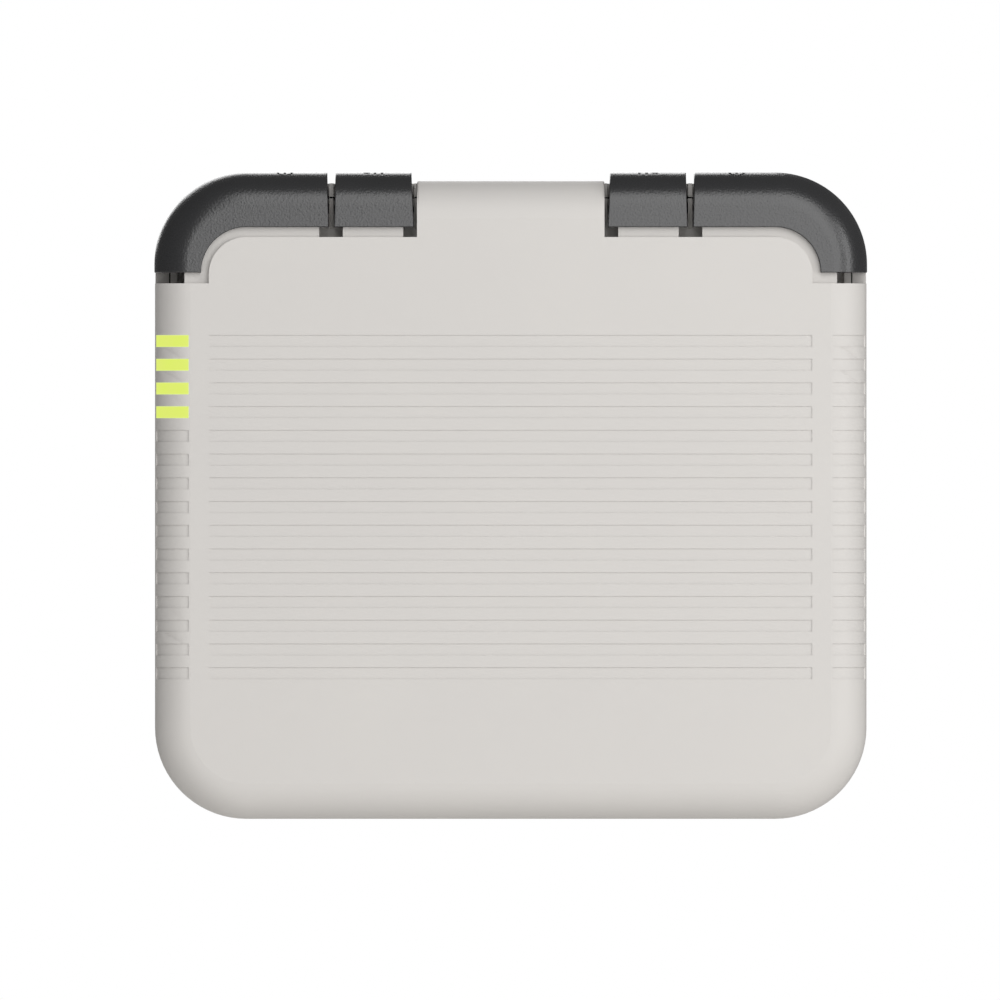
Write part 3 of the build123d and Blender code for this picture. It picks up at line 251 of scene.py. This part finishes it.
lit_shader = add_node(lit_tree, "ShaderNodeBsdfPrincipled",
                      {"Base Color": linear("#20260a"), "Roughness": 0.35, "Specular IOR Level": 0.2,
                       "Emission Color": lit_colour.outputs[2], "Emission Strength": 0.93})
add_node(lit_tree, "ShaderNodeOutputMaterial", {"Surface": lit_shader.outputs[0]})
finish(lit_lens, "charge_windows")

# ---- Rubber parts ---------------------------------------------------------------------------
# The joint gasket and the caps' seals are die-cut EPDM, dull black with a faint bloom.
# The wall bumpers and cable grommets are moulded in the same rubber and pressed into place.
RUBBER_GRAIN_MM = 1.4
RUBBER_GRAIN_DEEP_MM = 0.03

epdm = moulded_plastic("moulded_epdm_rubber", "#161616", "#1e1e1d", 0.82, RUBBER_GRAIN_MM,
                       RUBBER_GRAIN_DEEP_MM, 25, gloss=0.35)
SEALS = [name for name in nodes if name.startswith("cap_seal")]
finish(epdm, "housing_gasket", *SEALS)

SAME_POINT = 0.00002          # corners nearer than this are one


def solid_boxes(node):
    """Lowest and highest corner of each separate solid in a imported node, from left to right."""
    shape = bmesh.new()
    shape.from_mesh(nodes[node].data)
    bmesh.ops.remove_doubles(shape, verts=shape.verts, dist=SAME_POINT)
    waiting = set(shape.verts)
    found = []
    while waiting:
        group = [waiting.pop()]
        for vert in group:
            for edge in vert.link_edges:
                other = edge.other_vert(vert)
                if other in waiting:
                    waiting.remove(other)
                    group.append(other)
        low = Vector([min(v.co[i] for v in group) for i in range(3)])
        high = Vector([max(v.co[i] for v in group) for i in range(3)])
        found.append((low, high))
    shape.free()
    return sorted(found, key=lambda corners: tuple(round(c, 4) for c in corners[0]))


def turned(name, centre, axis, rings, segments=48):
    """A turned piece. Each ring is (how far along the axis, radius), or with "hex", a hexagon's ring.

    It starts from a filled circle, and each ring is one extrusion, resized about the axis.
    """
    bpy.ops.object.select_all(action="DESELECT")
    along = Vector(axis)
    height, radius = rings[0]
    turn = along.to_track_quat("Z", "Y").to_euler()
    bpy.ops.mesh.primitive_circle_add(vertices=segments, radius=radius, fill_type="NGON",
                                      location=Vector(centre) + along * height, rotation=turn)
    piece = bpy.context.object
    piece.name = name
    bpy.ops.object.transform_apply(location=True, rotation=True, scale=True)
    bpy.ops.object.mode_set(mode="EDIT")
    bpy.ops.mesh.select_all(action="SELECT")
    across = [0 if abs(part) > 0.5 else 1 for part in along]
    for ring in rings[1:]:
        bpy.ops.mesh.extrude_region_move(
            TRANSFORM_OT_translate={"value": along * (ring[0] - height)})
        scale = ring[1] / radius
        spot = Vector(centre) + along * ring[0]
        bpy.ops.transform.resize(value=[scale if part else 1.0 for part in across], center_override=spot)
        if len(ring) > 2:
            make_hexagon(piece, centre, across)
        height, radius = ring[:2]
    bpy.ops.mesh.select_all(action="SELECT")
    bpy.ops.mesh.normals_make_consistent(inside=False)
    bpy.ops.object.mode_set(mode="OBJECT")
    return piece


def make_hexagon(piece, centre, across):
    """Draws the selected ring in to a hexagon, in groups of points that lie alike on its sides."""
    shape = bmesh.from_edit_mesh(piece.data)
    chosen = [v.index for v in shape.verts if v.select]
    flat = [i for i, part in enumerate(across) if part]
    shares = {}
    for vert in shape.verts:
        if vert.select:
            offset = vert.co - Vector(centre)
            angle = math.degrees(math.atan2(offset[flat[1]], offset[flat[0]])) % 60
            share = math.cos(math.radians(30)) / math.cos(math.radians(angle - 30))
            shares.setdefault(round(share, 3), []).append(vert.index)
    spot = Vector(centre)
    for share, members in shares.items():
        bpy.ops.mesh.select_all(action="DESELECT")
        shape = bmesh.from_edit_mesh(piece.data)
        shape.verts.ensure_lookup_table()
        bpy.ops.mesh.select_mode(type="VERT")
        for index in members:
            shape.verts[index].select = True
        bmesh.update_edit_mesh(piece.data)
        bpy.ops.transform.resize(value=[share if part else 1.0 for part in across], center_override=spot)
    shape = bmesh.from_edit_mesh(piece.data)
    for vert in shape.verts:
        vert.select = vert.index in set(chosen)
    shape.select_flush(True)
    bpy.ops.mesh.select_mode(type="FACE")
    bmesh.update_edit_mesh(piece.data)


SHARP = math.radians(35)      # edges that turn by more than this are eased


def ease_edges(piece, width, segments=2):
    """Rounds a piece's sharp edges by a small radius and smooths its shading."""
    bpy.ops.object.select_all(action="DESELECT")
    piece.select_set(True)
    bpy.context.view_layer.objects.active = piece
    soften = piece.modifiers.new("eased_edges", "BEVEL")
    soften.width = width
    soften.segments = segments
    soften.limit_method = "ANGLE"
    soften.angle_limit = SHARP
    bpy.ops.object.modifier_apply(modifier=soften.name)
    bpy.ops.object.shade_smooth_by_angle(angle=SHARP)


def place_piece(piece, mat, body, slot, *stands_for):
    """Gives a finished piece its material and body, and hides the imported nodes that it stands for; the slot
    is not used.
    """
    piece.data.materials.clear()
    piece.data.materials.append(mat)
    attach(piece, body)
    if stands_for:
        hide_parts(*stands_for)


def copied(piece, name, move):
    """A copy of a piece with its own mesh, moved in its mesh."""
    twin = piece.copy()
    twin.data = piece.data.copy()
    twin.name = name
    bpy.context.scene.collection.objects.link(twin)
    bpy.ops.object.select_all(action="DESELECT")
    twin.select_set(True)
    bpy.context.view_layer.objects.active = twin
    twin.location = move
    bpy.ops.object.transform_apply(location=True, rotation=True, scale=True)
    return twin


def place_set(first, name, boxes, mat, slot, node):
    """Places a finished piece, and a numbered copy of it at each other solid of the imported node."""
    place_piece(first, mat, "unit", slot, node)
    for number, (corner, _) in enumerate(boxes[1:], 1):
        twin = copied(first, f"{name}_{number}", corner - boxes[0][0])
        place_piece(twin, mat, "unit", slot, node)


# a bumper has a foot flange, a body with two grooves, a rounded nose and a screw well
BUMPER_BODY = 0.0015          # how far the body lies inside the flange
BUMPER_GROOVE = 0.0028        # how far the grooves' floors lie inside it
BUMPER_GROOVES = ((0.0068, 0.0015), (0.0123, 0.0018))  # where each starts, and the body's inset after it
GROOVE_FLOOR = 0.0014
GROOVE_SLOPE = 0.0008
WELL_R = 0.0042
WELL_DEEP = 0.005
TOWARDS_WALL = (0, 1, 0)

bumpers = solid_boxes("wall_bumpers")
low, high = bumpers[0]
flange_r = (high.x - low.x) / 2
bumper_long = high.y - low.y
foot = Vector(((low.x + high.x) / 2, low.y, (low.z + high.z) / 2))
bumper_rings = [(0, flange_r), (0.0025, flange_r), (0.0035, flange_r - BUMPER_BODY)]
for groove, inset_after in BUMPER_GROOVES:
    bumper_rings += [(groove - GROOVE_SLOPE, flange_r - BUMPER_BODY), (groove, flange_r - BUMPER_GROOVE),
                     (groove + GROOVE_FLOOR, flange_r - BUMPER_GROOVE),
                     (groove + GROOVE_FLOOR + GROOVE_SLOPE, flange_r - inset_after)]
bumper_rings += [(bumper_long - 0.0022, flange_r - 0.0022), (bumper_long - 0.0006, flange_r - 0.004),
                 (bumper_long, flange_r - 0.006), (bumper_long, WELL_R), (bumper_long - WELL_DEEP, 0.0036)]
bumper = turned("wall_bumper_0", foot, TOWARDS_WALL, bumper_rings)
ease_edges(bumper, 0.0004)
place_set(bumper, "wall_bumper", bumpers, epdm, "black_rubber", "wall_bumpers")

# ---- Cable grommets -------------------------------------------------------------------------
# Square rubber plugs pushed into the cable ducts from behind. The bore is stepped into three
# sealing lips that grip the cable's jacket, and a raised ring surrounds its mouth.
GROMMET_RIM = 0.0012          # width of the raised rim round its back
GROMMET_RELIEF = 0.0012
GROMMET_BORE_R = 0.006
GROMMET_MOUTH_R = 0.0078
LIP_GAP_R = 0.0076
LIPS = (0.0042, 0.0078, 0.0114)
LIP_THICK = 0.0016
COLLAR_R = 0.0095

grommets = solid_boxes("cable_grommets")
low, high = grommets[0]
thick = high.y - low.y
middle = (low + high) / 2
bpy.ops.object.select_all(action="DESELECT")
bpy.ops.mesh.primitive_cube_add(size=1, location=middle)
grommet = bpy.context.object
grommet.name = "cable_grommet_0"
grommet.scale = (high.x - low.x, high.y - low.y, high.z - low.z)
bpy.ops.object.transform_apply(location=True, rotation=True, scale=True)
bpy.ops.object.mode_set(mode="EDIT")
bpy.ops.mesh.select_all(action="DESELECT")
shape = bmesh.from_edit_mesh(grommet.data)
for face in shape.faces:
    face.select = face.normal.y > 0.9
bmesh.update_edit_mesh(grommet.data)
bpy.ops.mesh.inset(thickness=GROMMET_RIM, depth=0.0)
bpy.ops.mesh.inset(thickness=0.0006, depth=-GROMMET_RELIEF)
bpy.ops.object.mode_set(mode="OBJECT")
collar = turned("grommet_collar", (middle.x, high.y, middle.z), TOWARDS_WALL, [
    (-0.004, COLLAR_R), (-0.0011, COLLAR_R), (-0.0002, COLLAR_R - 0.0007),
    (-0.0002, GROMMET_BORE_R + 0.0008)])
bore_rings = [(0, GROMMET_MOUTH_R), (0.003, GROMMET_MOUTH_R)]
for lip in LIPS[:-1]:
    bore_rings += [(lip, GROMMET_BORE_R), (lip + LIP_THICK, GROMMET_BORE_R), (lip + 0.0026, LIP_GAP_R)]
bore_rings += [(LIPS[-1], GROMMET_BORE_R), (thick + 0.003, GROMMET_BORE_R)]
bore = turned("grommet_bore", (middle.x, low.y - 0.001, middle.z), TOWARDS_WALL, bore_rings)


def carve(piece, tool, operation):
    """Joins a tool shape to a piece or cuts it away, then clears the tool."""
    bpy.ops.object.select_all(action="DESELECT")
    piece.select_set(True)
    bpy.context.view_layer.objects.active = piece
    step = piece.modifiers.new("carving", "BOOLEAN")
    step.operation = operation
    step.object = tool
    step.solver = "EXACT"
    bpy.ops.object.modifier_apply(modifier=step.name)
    bpy.data.objects.remove(tool)


carve(grommet, collar, "UNION")
carve(grommet, bore, "DIFFERENCE")
ease_edges(grommet, 0.0003)
place_set(grommet, "cable_grommet", grommets, epdm, "black_rubber", "cable_grommets")

# ---- Screws ---------------------------------------------------------------------------------
# Zinc-plated steel screws with rolled threads and hexagon sockets. The housing's screws sit deep
# in the rear wells, the hanger's hold the rail on, and two lock the rail to the wall bracket.
THREAD_PITCH = 0.0014
THREAD_ROOT = 0.86            # the thread's root, the point and the key socket, as shares of their radius
POINT = 0.55
KEY_SOCKET = 0.56


def plated_metal(name, dark, light, roughness, patch_mm, brush=(1, 1, 1)):
    """Bright metal with a mottled coating: colour and gloss vary in patches, stretched by brushing."""
    mat, tree, coords = empty_material(name)
    lay = add_node(tree, "ShaderNodeMapping", {"Vector": coords, "Scale": brush})
    patch = add_node(tree, "ShaderNodeTexNoise",
                     {"Vector": lay.outputs[0], "Scale": 1000 / patch_mm, "Detail": 4.0, "Roughness": 0.6})
    colour = add_node(tree, "ShaderNodeMix", {0: patch.outputs["Fac"], 6: linear(dark), 7: linear(light)},
                      data_type="RGBA")
    gloss = add_node(tree, "ShaderNodeMapRange",
                     {"Value": patch.outputs["Fac"], "To Min": roughness + 0.12, "To Max": roughness - 0.12})
    relief = add_node(tree, "ShaderNodeBump",
                      {"Strength": 0.6, "Distance": 0.00002, "Height": patch.outputs["Fac"]})
    shader = add_node(tree, "ShaderNodeBsdfPrincipled",
                      {"Base Color": colour.outputs[2], "Metallic": 1.0, "Roughness": gloss.outputs[0],
                       "Normal": relief.outputs[0]})
    add_node(tree, "ShaderNodeOutputMaterial", {"Surface": shader.outputs[0]})
    return mat


zinc_plate = plated_metal("blue_zinc_plated_steel", "#8f9398", "#c9ccd0", 0.34, 3)


def screw(name, seat, axis, head_r, head_high, shank_r, shank_long):
    """A socket-head screw whose head stands along the axis from its seat and whose shank goes back."""
    rings = [(-shank_long, shank_r * POINT)]
    for turn in range(int(shank_long / THREAD_PITCH)):
        at = -shank_long + turn * THREAD_PITCH
        rings.append((at + THREAD_PITCH * 0.35, shank_r * THREAD_ROOT))
        rings.append((at + THREAD_PITCH * 0.7, shank_r))
    rings += [(-0.0003, shank_r * THREAD_ROOT), (0, shank_r), (0, head_r * 0.97), (0.0003, head_r),
              (head_high - 0.0008, head_r), (head_high, head_r * 0.82),
              (head_high, head_r * KEY_SOCKET, "hex"), (head_high * 0.35, head_r * KEY_SOCKET),
              (head_high * 0.25, head_r * 0.2)]
    return turned(name, seat, axis, rings, segments=24)


def screw_set(node, axis_index, sign, head_r, head_high, shank_r):
    """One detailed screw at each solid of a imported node, modelled once and copied."""
    boxes = solid_boxes(node)
    axis = [0, 0, 0]
    axis[axis_index] = sign
    low, high = boxes[0]
    seat = (low + high) / 2
    end = high if sign > 0 else low
    seat[axis_index] = end[axis_index] - sign * head_high
    long = high[axis_index] - low[axis_index] - head_high
    first = screw(f"{node}_0", seat, axis, head_r, head_high, shank_r, long)
    ease_edges(first, 0.00012, 1)
    place_set(first, node, boxes, zinc_plate, "steel", node)


screw_set("housing_screws", axis_index=1, sign=1, head_r=0.0042, head_high=0.004, shank_r=0.0019)
screw_set("hanger_screws", axis_index=1, sign=1, head_r=0.0045, head_high=0.0035, shank_r=0.0025)
screw_set("locking_screws", axis_index=2, sign=-1, head_r=0.0045, head_high=0.005, shank_r=0.0025)
finish(zinc_plate, "cap_hinge_pins", "breaker_pin", "tie_rods", "earth_stud")

# ---- Wall bracket and hanger rail -----------------------------------------------------------
# Laser-cut, folded 3 mm steel with a black polyester powder coat. The coat cures into a soft
# orange-peel skin, and handling leaves it glossier in some patches than in others.
PEEL_MM = 3.0
PEEL_DEEP_MM = 0.05

powder_coat, coat_tree, coat_coords = empty_material("black_powder_coated_steel")
peel = add_node(coat_tree, "ShaderNodeTexNoise",
                {"Vector": coat_coords, "Scale": 1000 / PEEL_MM, "Detail": 1.5})
scuffs = add_node(coat_tree, "ShaderNodeTexNoise",
                  {"Vector": coat_coords, "Scale": 22.0, "Detail": 6.0, "Roughness": 0.7})
coat_gloss = add_node(coat_tree, "ShaderNodeMapRange",
                      {"Value": scuffs.outputs["Fac"], "From Min": 0.35, "From Max": 0.65,
                       "To Min": 0.36, "To Max": 0.52})
coat_colour = add_node(coat_tree, "ShaderNodeMix",
                       {0: scuffs.outputs["Fac"], 6: linear("#222324"), 7: linear("#2e2f31")},
                       data_type="RGBA")
coat_relief = add_node(coat_tree, "ShaderNodeBump",
                       {"Strength": 1.0, "Distance": PEEL_DEEP_MM / 1000, "Height": peel.outputs["Fac"]})
coat_shader = add_node(coat_tree, "ShaderNodeBsdfPrincipled",
                       {"Base Color": coat_colour.outputs[2], "Roughness": coat_gloss.outputs[0],
                        "Normal": coat_relief.outputs[0]})
add_node(coat_tree, "ShaderNodeOutputMaterial", {"Surface": coat_shader.outputs[0]})
finish(powder_coat, "wall_bracket", "hanger_rail")

# ---- Pressure vent --------------------------------------------------------------------------
# A snap-in membrane vent in black nylon: a hexagon to turn it by, a domed cover over the
# membrane, and a ring groove through which the case breathes.
VENT_SHANK_R = 0.0078
VENT_HEAD_HIGH = 0.004
VENT_GROOVE_R = 0.0084
VENT_DOME_R = 0.0066
vent_low, vent_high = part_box("pressure_vent")
vent_r = (vent_high.x - vent_low.x) / 2
vent_long = vent_high.y - vent_low.y
vent_seat = Vector(((vent_low.x + vent_high.x) / 2, vent_low.y, (vent_low.z + vent_high.z) / 2))
vent_black = moulded_plastic("glass_filled_nylon_black", "#1c1c1d", "#252526", 0.42, 0.9, 0.03, 18)
vent = turned("pressure_vent_cap", vent_seat, TOWARDS_WALL, [
    (0, VENT_SHANK_R - 0.001), (0.0012, VENT_SHANK_R), (vent_long - VENT_HEAD_HIGH, VENT_SHANK_R),
    (vent_long - VENT_HEAD_HIGH, vent_r), (vent_long - 0.0026, vent_r), (vent_long - 0.0022, vent_r - 0.0006),
    (vent_long - 0.0022, vent_r - 0.0012, "hex"), (vent_long - 0.0011, vent_r - 0.0012)])
dome_groove = turned("vent_groove", vent_seat, TOWARDS_WALL, [
    (vent_long - 0.0026, VENT_GROOVE_R), (vent_long + 0.001, VENT_GROOVE_R)])
dome = turned("vent_dome", vent_seat, TOWARDS_WALL, [
    (vent_long - 0.003, VENT_DOME_R), (vent_long - 0.0013, VENT_DOME_R), (vent_long - 0.0006, 0.0058),
    (vent_long - 0.0001, 0.0042), (vent_long, 0.0022)])
carve(vent, dome_groove, "DIFFERENCE")
carve(vent, dome, "UNION")
ease_edges(vent, 0.0002)
place_piece(vent, vent_black, "unit", "socket_black", "pressure_vent")

# ---- Power sockets --------------------------------------------------------------------------
# Panel-mounted single-pole sockets under the corner caps: orange on the battery's DC side,
# black on the grid side. Each has a flanged collar, grip ribs and a deep bore with its contact.
SOCKET_FLANGE = 0.002
SOCKET_BORE_R = 0.0055
SOCKET_BORE_DEEP = 0.018
CONTACT_R = 0.003
CONTACT_DEEP = 0.006
GRIP_DEEP = 0.0006            # the two grip grooves round the barrel
PANEL_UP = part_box("bay_panels")[1].z

dc_orange = moulded_plastic("orange_pbt_connector", "#d9560a", "#e2620f", 0.38, 0.8, 0.02, 14)
socket_black = moulded_plastic("black_pbt_connector", "#191a1b", "#222324", 0.36, 0.8, 0.02, 14)


def power_sockets(node, mat, slot):
    """The detailed sockets that stand for one packed pair."""
    boxes = solid_boxes(node)
    low, high = boxes[0]
    wide = (high.x - low.x) / 2
    barrel = wide - SOCKET_FLANGE
    base = (low + high) / 2
    base.z = low.z
    top = high.z - low.z
    panel = PANEL_UP - low.z
    first = turned(f"{node}_0", base, (0, 0, 1), [
        (0, barrel - 0.001), (0.001, barrel), (panel, barrel), (panel, wide - 0.0004),
        (panel + 0.0004, wide), (panel + 0.0026, wide), (panel + 0.003, wide - 0.0004),
        (panel + 0.003, barrel - GRIP_DEEP), (panel + 0.0055, barrel - GRIP_DEEP), (panel + 0.006, barrel),
        (panel + 0.0072, barrel), (panel + 0.0077, barrel - GRIP_DEEP), (panel + 0.0088, barrel - GRIP_DEEP),
        (panel + 0.0093, barrel), (top - 0.0012, barrel), (top, barrel - 0.0012),
        (top, SOCKET_BORE_R + 0.001), (top - 0.001, SOCKET_BORE_R), (top - SOCKET_BORE_DEEP, SOCKET_BORE_R),
        (top - SOCKET_BORE_DEEP, CONTACT_R), (top - SOCKET_BORE_DEEP - CONTACT_DEEP, CONTACT_R)])
    ease_edges(first, 0.00025)
    place_set(first, node, boxes, mat, slot, node)


power_sockets("dc_sockets", dc_orange, "dc_orange")
power_sockets("grid_sockets", socket_black, "socket_black")
machined_brass = plated_metal("machined_brass", "#a8823c", "#d4b060", 0.3, 2)
finish(machined_brass, "socket_contacts", "earth_nut", "standoffs", "terminal_nuts")

# ---- Bay panels and data sockets ------------------------------------------------------------
# Flat moulded panels close the bottom of each bay, in dark grey flame-retardant ABS. The data
# sockets are clipped through them, and each holds a row of eight bent, gold-plated spring wires.
WIRES = 8
WIRE_PITCH = 0.00102
WIRE_R = 0.00026
WIRE_FOOT = 0.0075            # below the panel's upper face
WIRE_BACK = 0.0036            # from the socket's middle to its wall side
WIRE_BENDS = [(0, 0.0100), (-0.0005, 0.0010), (-0.0010, 0.0004), (-0.0010, -0.0004), (-0.0018, -0.0065)]

panel_plastic = moulded_plastic("fine_textured_abs_dark_grey", "#323335", "#3a3b3d", 0.5, 1.0, 0.02, 30)
finish(panel_plastic, "bay_panels", "data_sockets", "button_housing")
gold_plate = plated_metal("gold_plated_phosphor_bronze", "#c79a3a", "#e6bd5c", 0.24, 1.5)
data_boxes = solid_boxes("data_sockets")
data_middle = (data_boxes[0][0] + data_boxes[0][1]) / 2
first_wire = data_middle.x - (WIRES - 1) / 2 * WIRE_PITCH
bpy.ops.object.select_all(action="DESELECT")
bpy.ops.mesh.primitive_circle_add(vertices=6, radius=WIRE_R, fill_type="NGON",
                                  location=(first_wire, data_middle.y + WIRE_BACK, PANEL_UP - WIRE_FOOT))
contacts = bpy.context.object
contacts.name = "data_contacts_0"
bpy.ops.object.transform_apply(location=True, rotation=True, scale=True)
bpy.ops.object.mode_set(mode="EDIT")
bpy.ops.mesh.select_all(action="SELECT")
for back, up in WIRE_BENDS:
    bpy.ops.mesh.extrude_region_move(TRANSFORM_OT_translate={"value": (0, back, up)})
bpy.ops.mesh.select_all(action="SELECT")
bpy.ops.mesh.normals_make_consistent(inside=False)
bpy.ops.object.mode_set(mode="OBJECT")
wires = [copied(contacts, f"wire_{step}", (step * WIRE_PITCH, 0, 0)) for step in range(1, WIRES)]
bpy.ops.object.select_all(action="DESELECT")
for wire in [contacts] + wires:
    wire.select_set(True)
bpy.context.view_layer.objects.active = contacts
bpy.ops.object.join()
bpy.ops.object.shade_smooth_by_angle(angle=math.radians(50))
place_piece(contacts, gold_plate, "unit", "brass")
twin = copied(contacts, "data_contacts_1", data_boxes[1][0] - data_boxes[0][0])
place_piece(twin, gold_plate, "unit", "brass")

# ---- Power button ---------------------------------------------------------------------------
# A push button in soft-touch grey plastic with a dished face and a plain ring round its middle.
# It slides in the housing's sleeve on a coil spring, with a stem down to its switch.
STEM_LONG = 0.014
STEM_R = 0.002
RING_DEEP = 0.0007            # the ring's floor, below the button's rim
button_low, button_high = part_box("power_button")
button_r = (button_high.x - button_low.x) / 2
button_long = button_high.z - button_low.z
soft_touch = moulded_plastic("soft_touch_grey_plastic", "#8b8d8d", "#979999", 0.62, 0.8, 0.015, 9)
button_foot = Vector(((button_low.x + button_high.x) / 2, (button_low.y + button_high.y) / 2, button_low.z))
button = turned("power_button_cap", button_foot, (0, 0, 1), [
    (0, STEM_R), (STEM_LONG, STEM_R), (STEM_LONG, button_r), (button_long - 0.0008, button_r),
    (button_long - 0.0002, button_r - 0.0004), (button_long, button_r - 0.0011),
    (button_long - 0.0003, button_r - 0.002), (button_long - RING_DEEP, button_r - 0.0024),
    (button_long - RING_DEEP, button_r - 0.003), (button_long - 0.0004, button_r - 0.0033),
    (button_long - 0.0006, 0.0008)])
ease_edges(button, 0.00015)
place_piece(button, soft_touch, "power_button", "button_grey", "power_button")

# The coil is the imported one, merged, and given a mesh of its own.
spring = copied(nodes["button_spring"], "button_spring_coil", (0, 0, 0))
bpy.ops.object.mode_set(mode="EDIT")
bpy.ops.mesh.select_all(action="SELECT")
bpy.ops.mesh.remove_doubles(threshold=SAME_POINT)
bpy.ops.object.mode_set(mode="OBJECT")
place_piece(spring, zinc_plate, "unit", "steel", "button_spring")
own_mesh(spring)

# ---- Breaker --------------------------------------------------------------------------------
# A miniature DC breaker: a black thermoset case under the panel, and a red lever on a steel pin
# that is thrown from front to back.
lever_red = moulded_plastic("red_nylon_lever", "#a81a12", "#b9231a", 0.35, 0.8, 0.015, 10)
finish(socket_black, "breaker_body")
finish(lever_red, "breaker_lever")

# ---- Battery cells --------------------------------------------------------------------------
# Sixteen prismatic aluminium cans in a shrunk blue PET film. The film is glossy with long slack
# ripples. Thin fish-paper sheets part the cells, and a cover of the same sheet keeps tools off the bars.
FILM_RIPPLE_MM = 18
cell_film, film_tree, film_coords = empty_material("blue_pet_film_on_aluminium")
film_lay = add_node(film_tree, "ShaderNodeMapping", {"Vector": film_coords, "Scale": (1.0, 0.25, 1.0)})
ripple = add_node(film_tree, "ShaderNodeTexNoise",
                  {"Vector": film_lay.outputs[0], "Scale": 1000 / FILM_RIPPLE_MM, "Detail": 2.0})
film_colour = add_node(film_tree, "ShaderNodeMix",
                       {0: ripple.outputs["Fac"], 6: linear("#1c4f96"), 7: linear("#2a66b4")},
                       data_type="RGBA")
film_relief = add_node(film_tree, "ShaderNodeBump",
                       {"Strength": 0.8, "Distance": 0.0004, "Height": ripple.outputs["Fac"]})
film_shader = add_node(film_tree, "ShaderNodeBsdfPrincipled",
                       {"Base Color": film_colour.outputs[2], "Roughness": 0.28, "Metallic": 0.35,
                        "Coat Weight": 0.6, "Coat Roughness": 0.08, "Normal": film_relief.outputs[0]})
add_node(film_tree, "ShaderNodeOutputMaterial", {"Surface": film_shader.outputs[0]})
finish(cell_film, "cells_lower_row", "cells_upper_row")
fish_paper = moulded_plastic("calendered_insulating_sheet", "#c9c2b2", "#d8d2c3", 0.6, 2.2, 0.03, 35)
finish(fish_paper, "cell_spacers", "busbar_cover", "thermal_pad")

# ---- Metal of the pack ----------------------------------------------------------------------
# Milled aluminium end plates, heat spreader, sink and cell terminals, brushed lengthwise; bare
# rolled copper bars; and a galvanised tray and brackets that carry the electronics.
milled_aluminium = plated_metal("milled_aluminium", "#a9abad", "#c6c8ca", 0.36, 6, (0.1, 1, 1))
finish(milled_aluminium, "end_plates", "heat_spreader", "bms_heat_sink", "cell_terminals")
rolled_copper = plated_metal("rolled_copper", "#a45a38", "#c9784f", 0.32, 7, (0.15, 1, 1))
finish(rolled_copper, "cell_busbars", "power_bars", "current_shunt")

SPANGLE_MM = 9
galvanised, zinc_tree, zinc_coords = empty_material("spangled_galvanised_sheet")
spangle = add_node(zinc_tree, "ShaderNodeTexVoronoi", {"Vector": zinc_coords, "Scale": 1000 / SPANGLE_MM})
crystal = add_node(zinc_tree, "ShaderNodeSeparateColor", {0: spangle.outputs["Color"]})
zinc_colour = add_node(zinc_tree, "ShaderNodeMix",
                       {0: crystal.outputs[0], 6: linear("#8d9194"), 7: linear("#b4b8bb")},
                       data_type="RGBA")
zinc_gloss = add_node(zinc_tree, "ShaderNodeMapRange",
                      {"Value": crystal.outputs[1], "To Min": 0.3, "To Max": 0.5})
zinc_shader = add_node(zinc_tree, "ShaderNodeBsdfPrincipled",
                       {"Base Color": zinc_colour.outputs[2], "Metallic": 1.0,
                        "Roughness": zinc_gloss.outputs[0]})
add_node(zinc_tree, "ShaderNodeOutputMaterial", {"Surface": zinc_shader.outputs[0]})
finish(galvanised, "electronics_tray", "pack_brackets")

# ---- Boards and their parts -----------------------------------------------------------------
# FR4 boards under green solder mask, with copper tracks showing through as lighter lines.
# The chips, capacitors and contactor are moulded in black epoxy; the fuse is glazed ceramic.
TRACK_MM = 3.2
solder_mask, mask_tree, mask_coords = empty_material("green_solder_mask_on_fr4")
mask_turn = add_node(mask_tree, "ShaderNodeMapping",
                     {"Vector": mask_coords, "Rotation": (math.radians(90), 0, 0)})
tracks = add_node(mask_tree, "ShaderNodeTexBrick",
                  {"Vector": mask_turn.outputs[0], "Scale": 1.0, "Mortar Size": 0.00018,
                   "Brick Width": 4 * TRACK_MM / 1000, "Row Height": TRACK_MM / 1000,
                   "Color1": linear("#0f4a26"), "Color2": linear("#125430"), "Mortar": linear("#2c7a45")})
mask_relief = add_node(mask_tree, "ShaderNodeBump",
                       {"Strength": 0.5, "Distance": 0.00004, "Height": tracks.outputs["Fac"]})
mask_shader = add_node(mask_tree, "ShaderNodeBsdfPrincipled",
                       {"Base Color": tracks.outputs["Color"], "Roughness": 0.3,
                        "Normal": mask_relief.outputs[0]})
add_node(mask_tree, "ShaderNodeOutputMaterial", {"Surface": mask_shader.outputs[0]})
finish(solder_mask, "led_board", "bms_board")
epoxy_black = moulded_plastic("moulded_epoxy_black", "#1b1b1d", "#262628", 0.45, 0.8, 0.015, 6)
finish(epoxy_black, "bms_components", "contactor")
ceramic = moulded_plastic("glazed_fuse_ceramic", "#d9d5cb", "#e6e3da", 0.22, 2.0, 0.01, 9)
finish(ceramic, "main_fuse")
led_resin = moulded_plastic("yellow_phosphor_resin", "#d9c050", "#e6d06a", 0.3, 0.6, 0.01, 3)
finish(led_resin, "led_chips")
lead_jacket = moulded_plastic("orange_silicone_jacket", "#c4500f", "#cf5c18", 0.58, 1.5, 0.02, 30)
finish(lead_jacket, "dc_leads")

low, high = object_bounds()
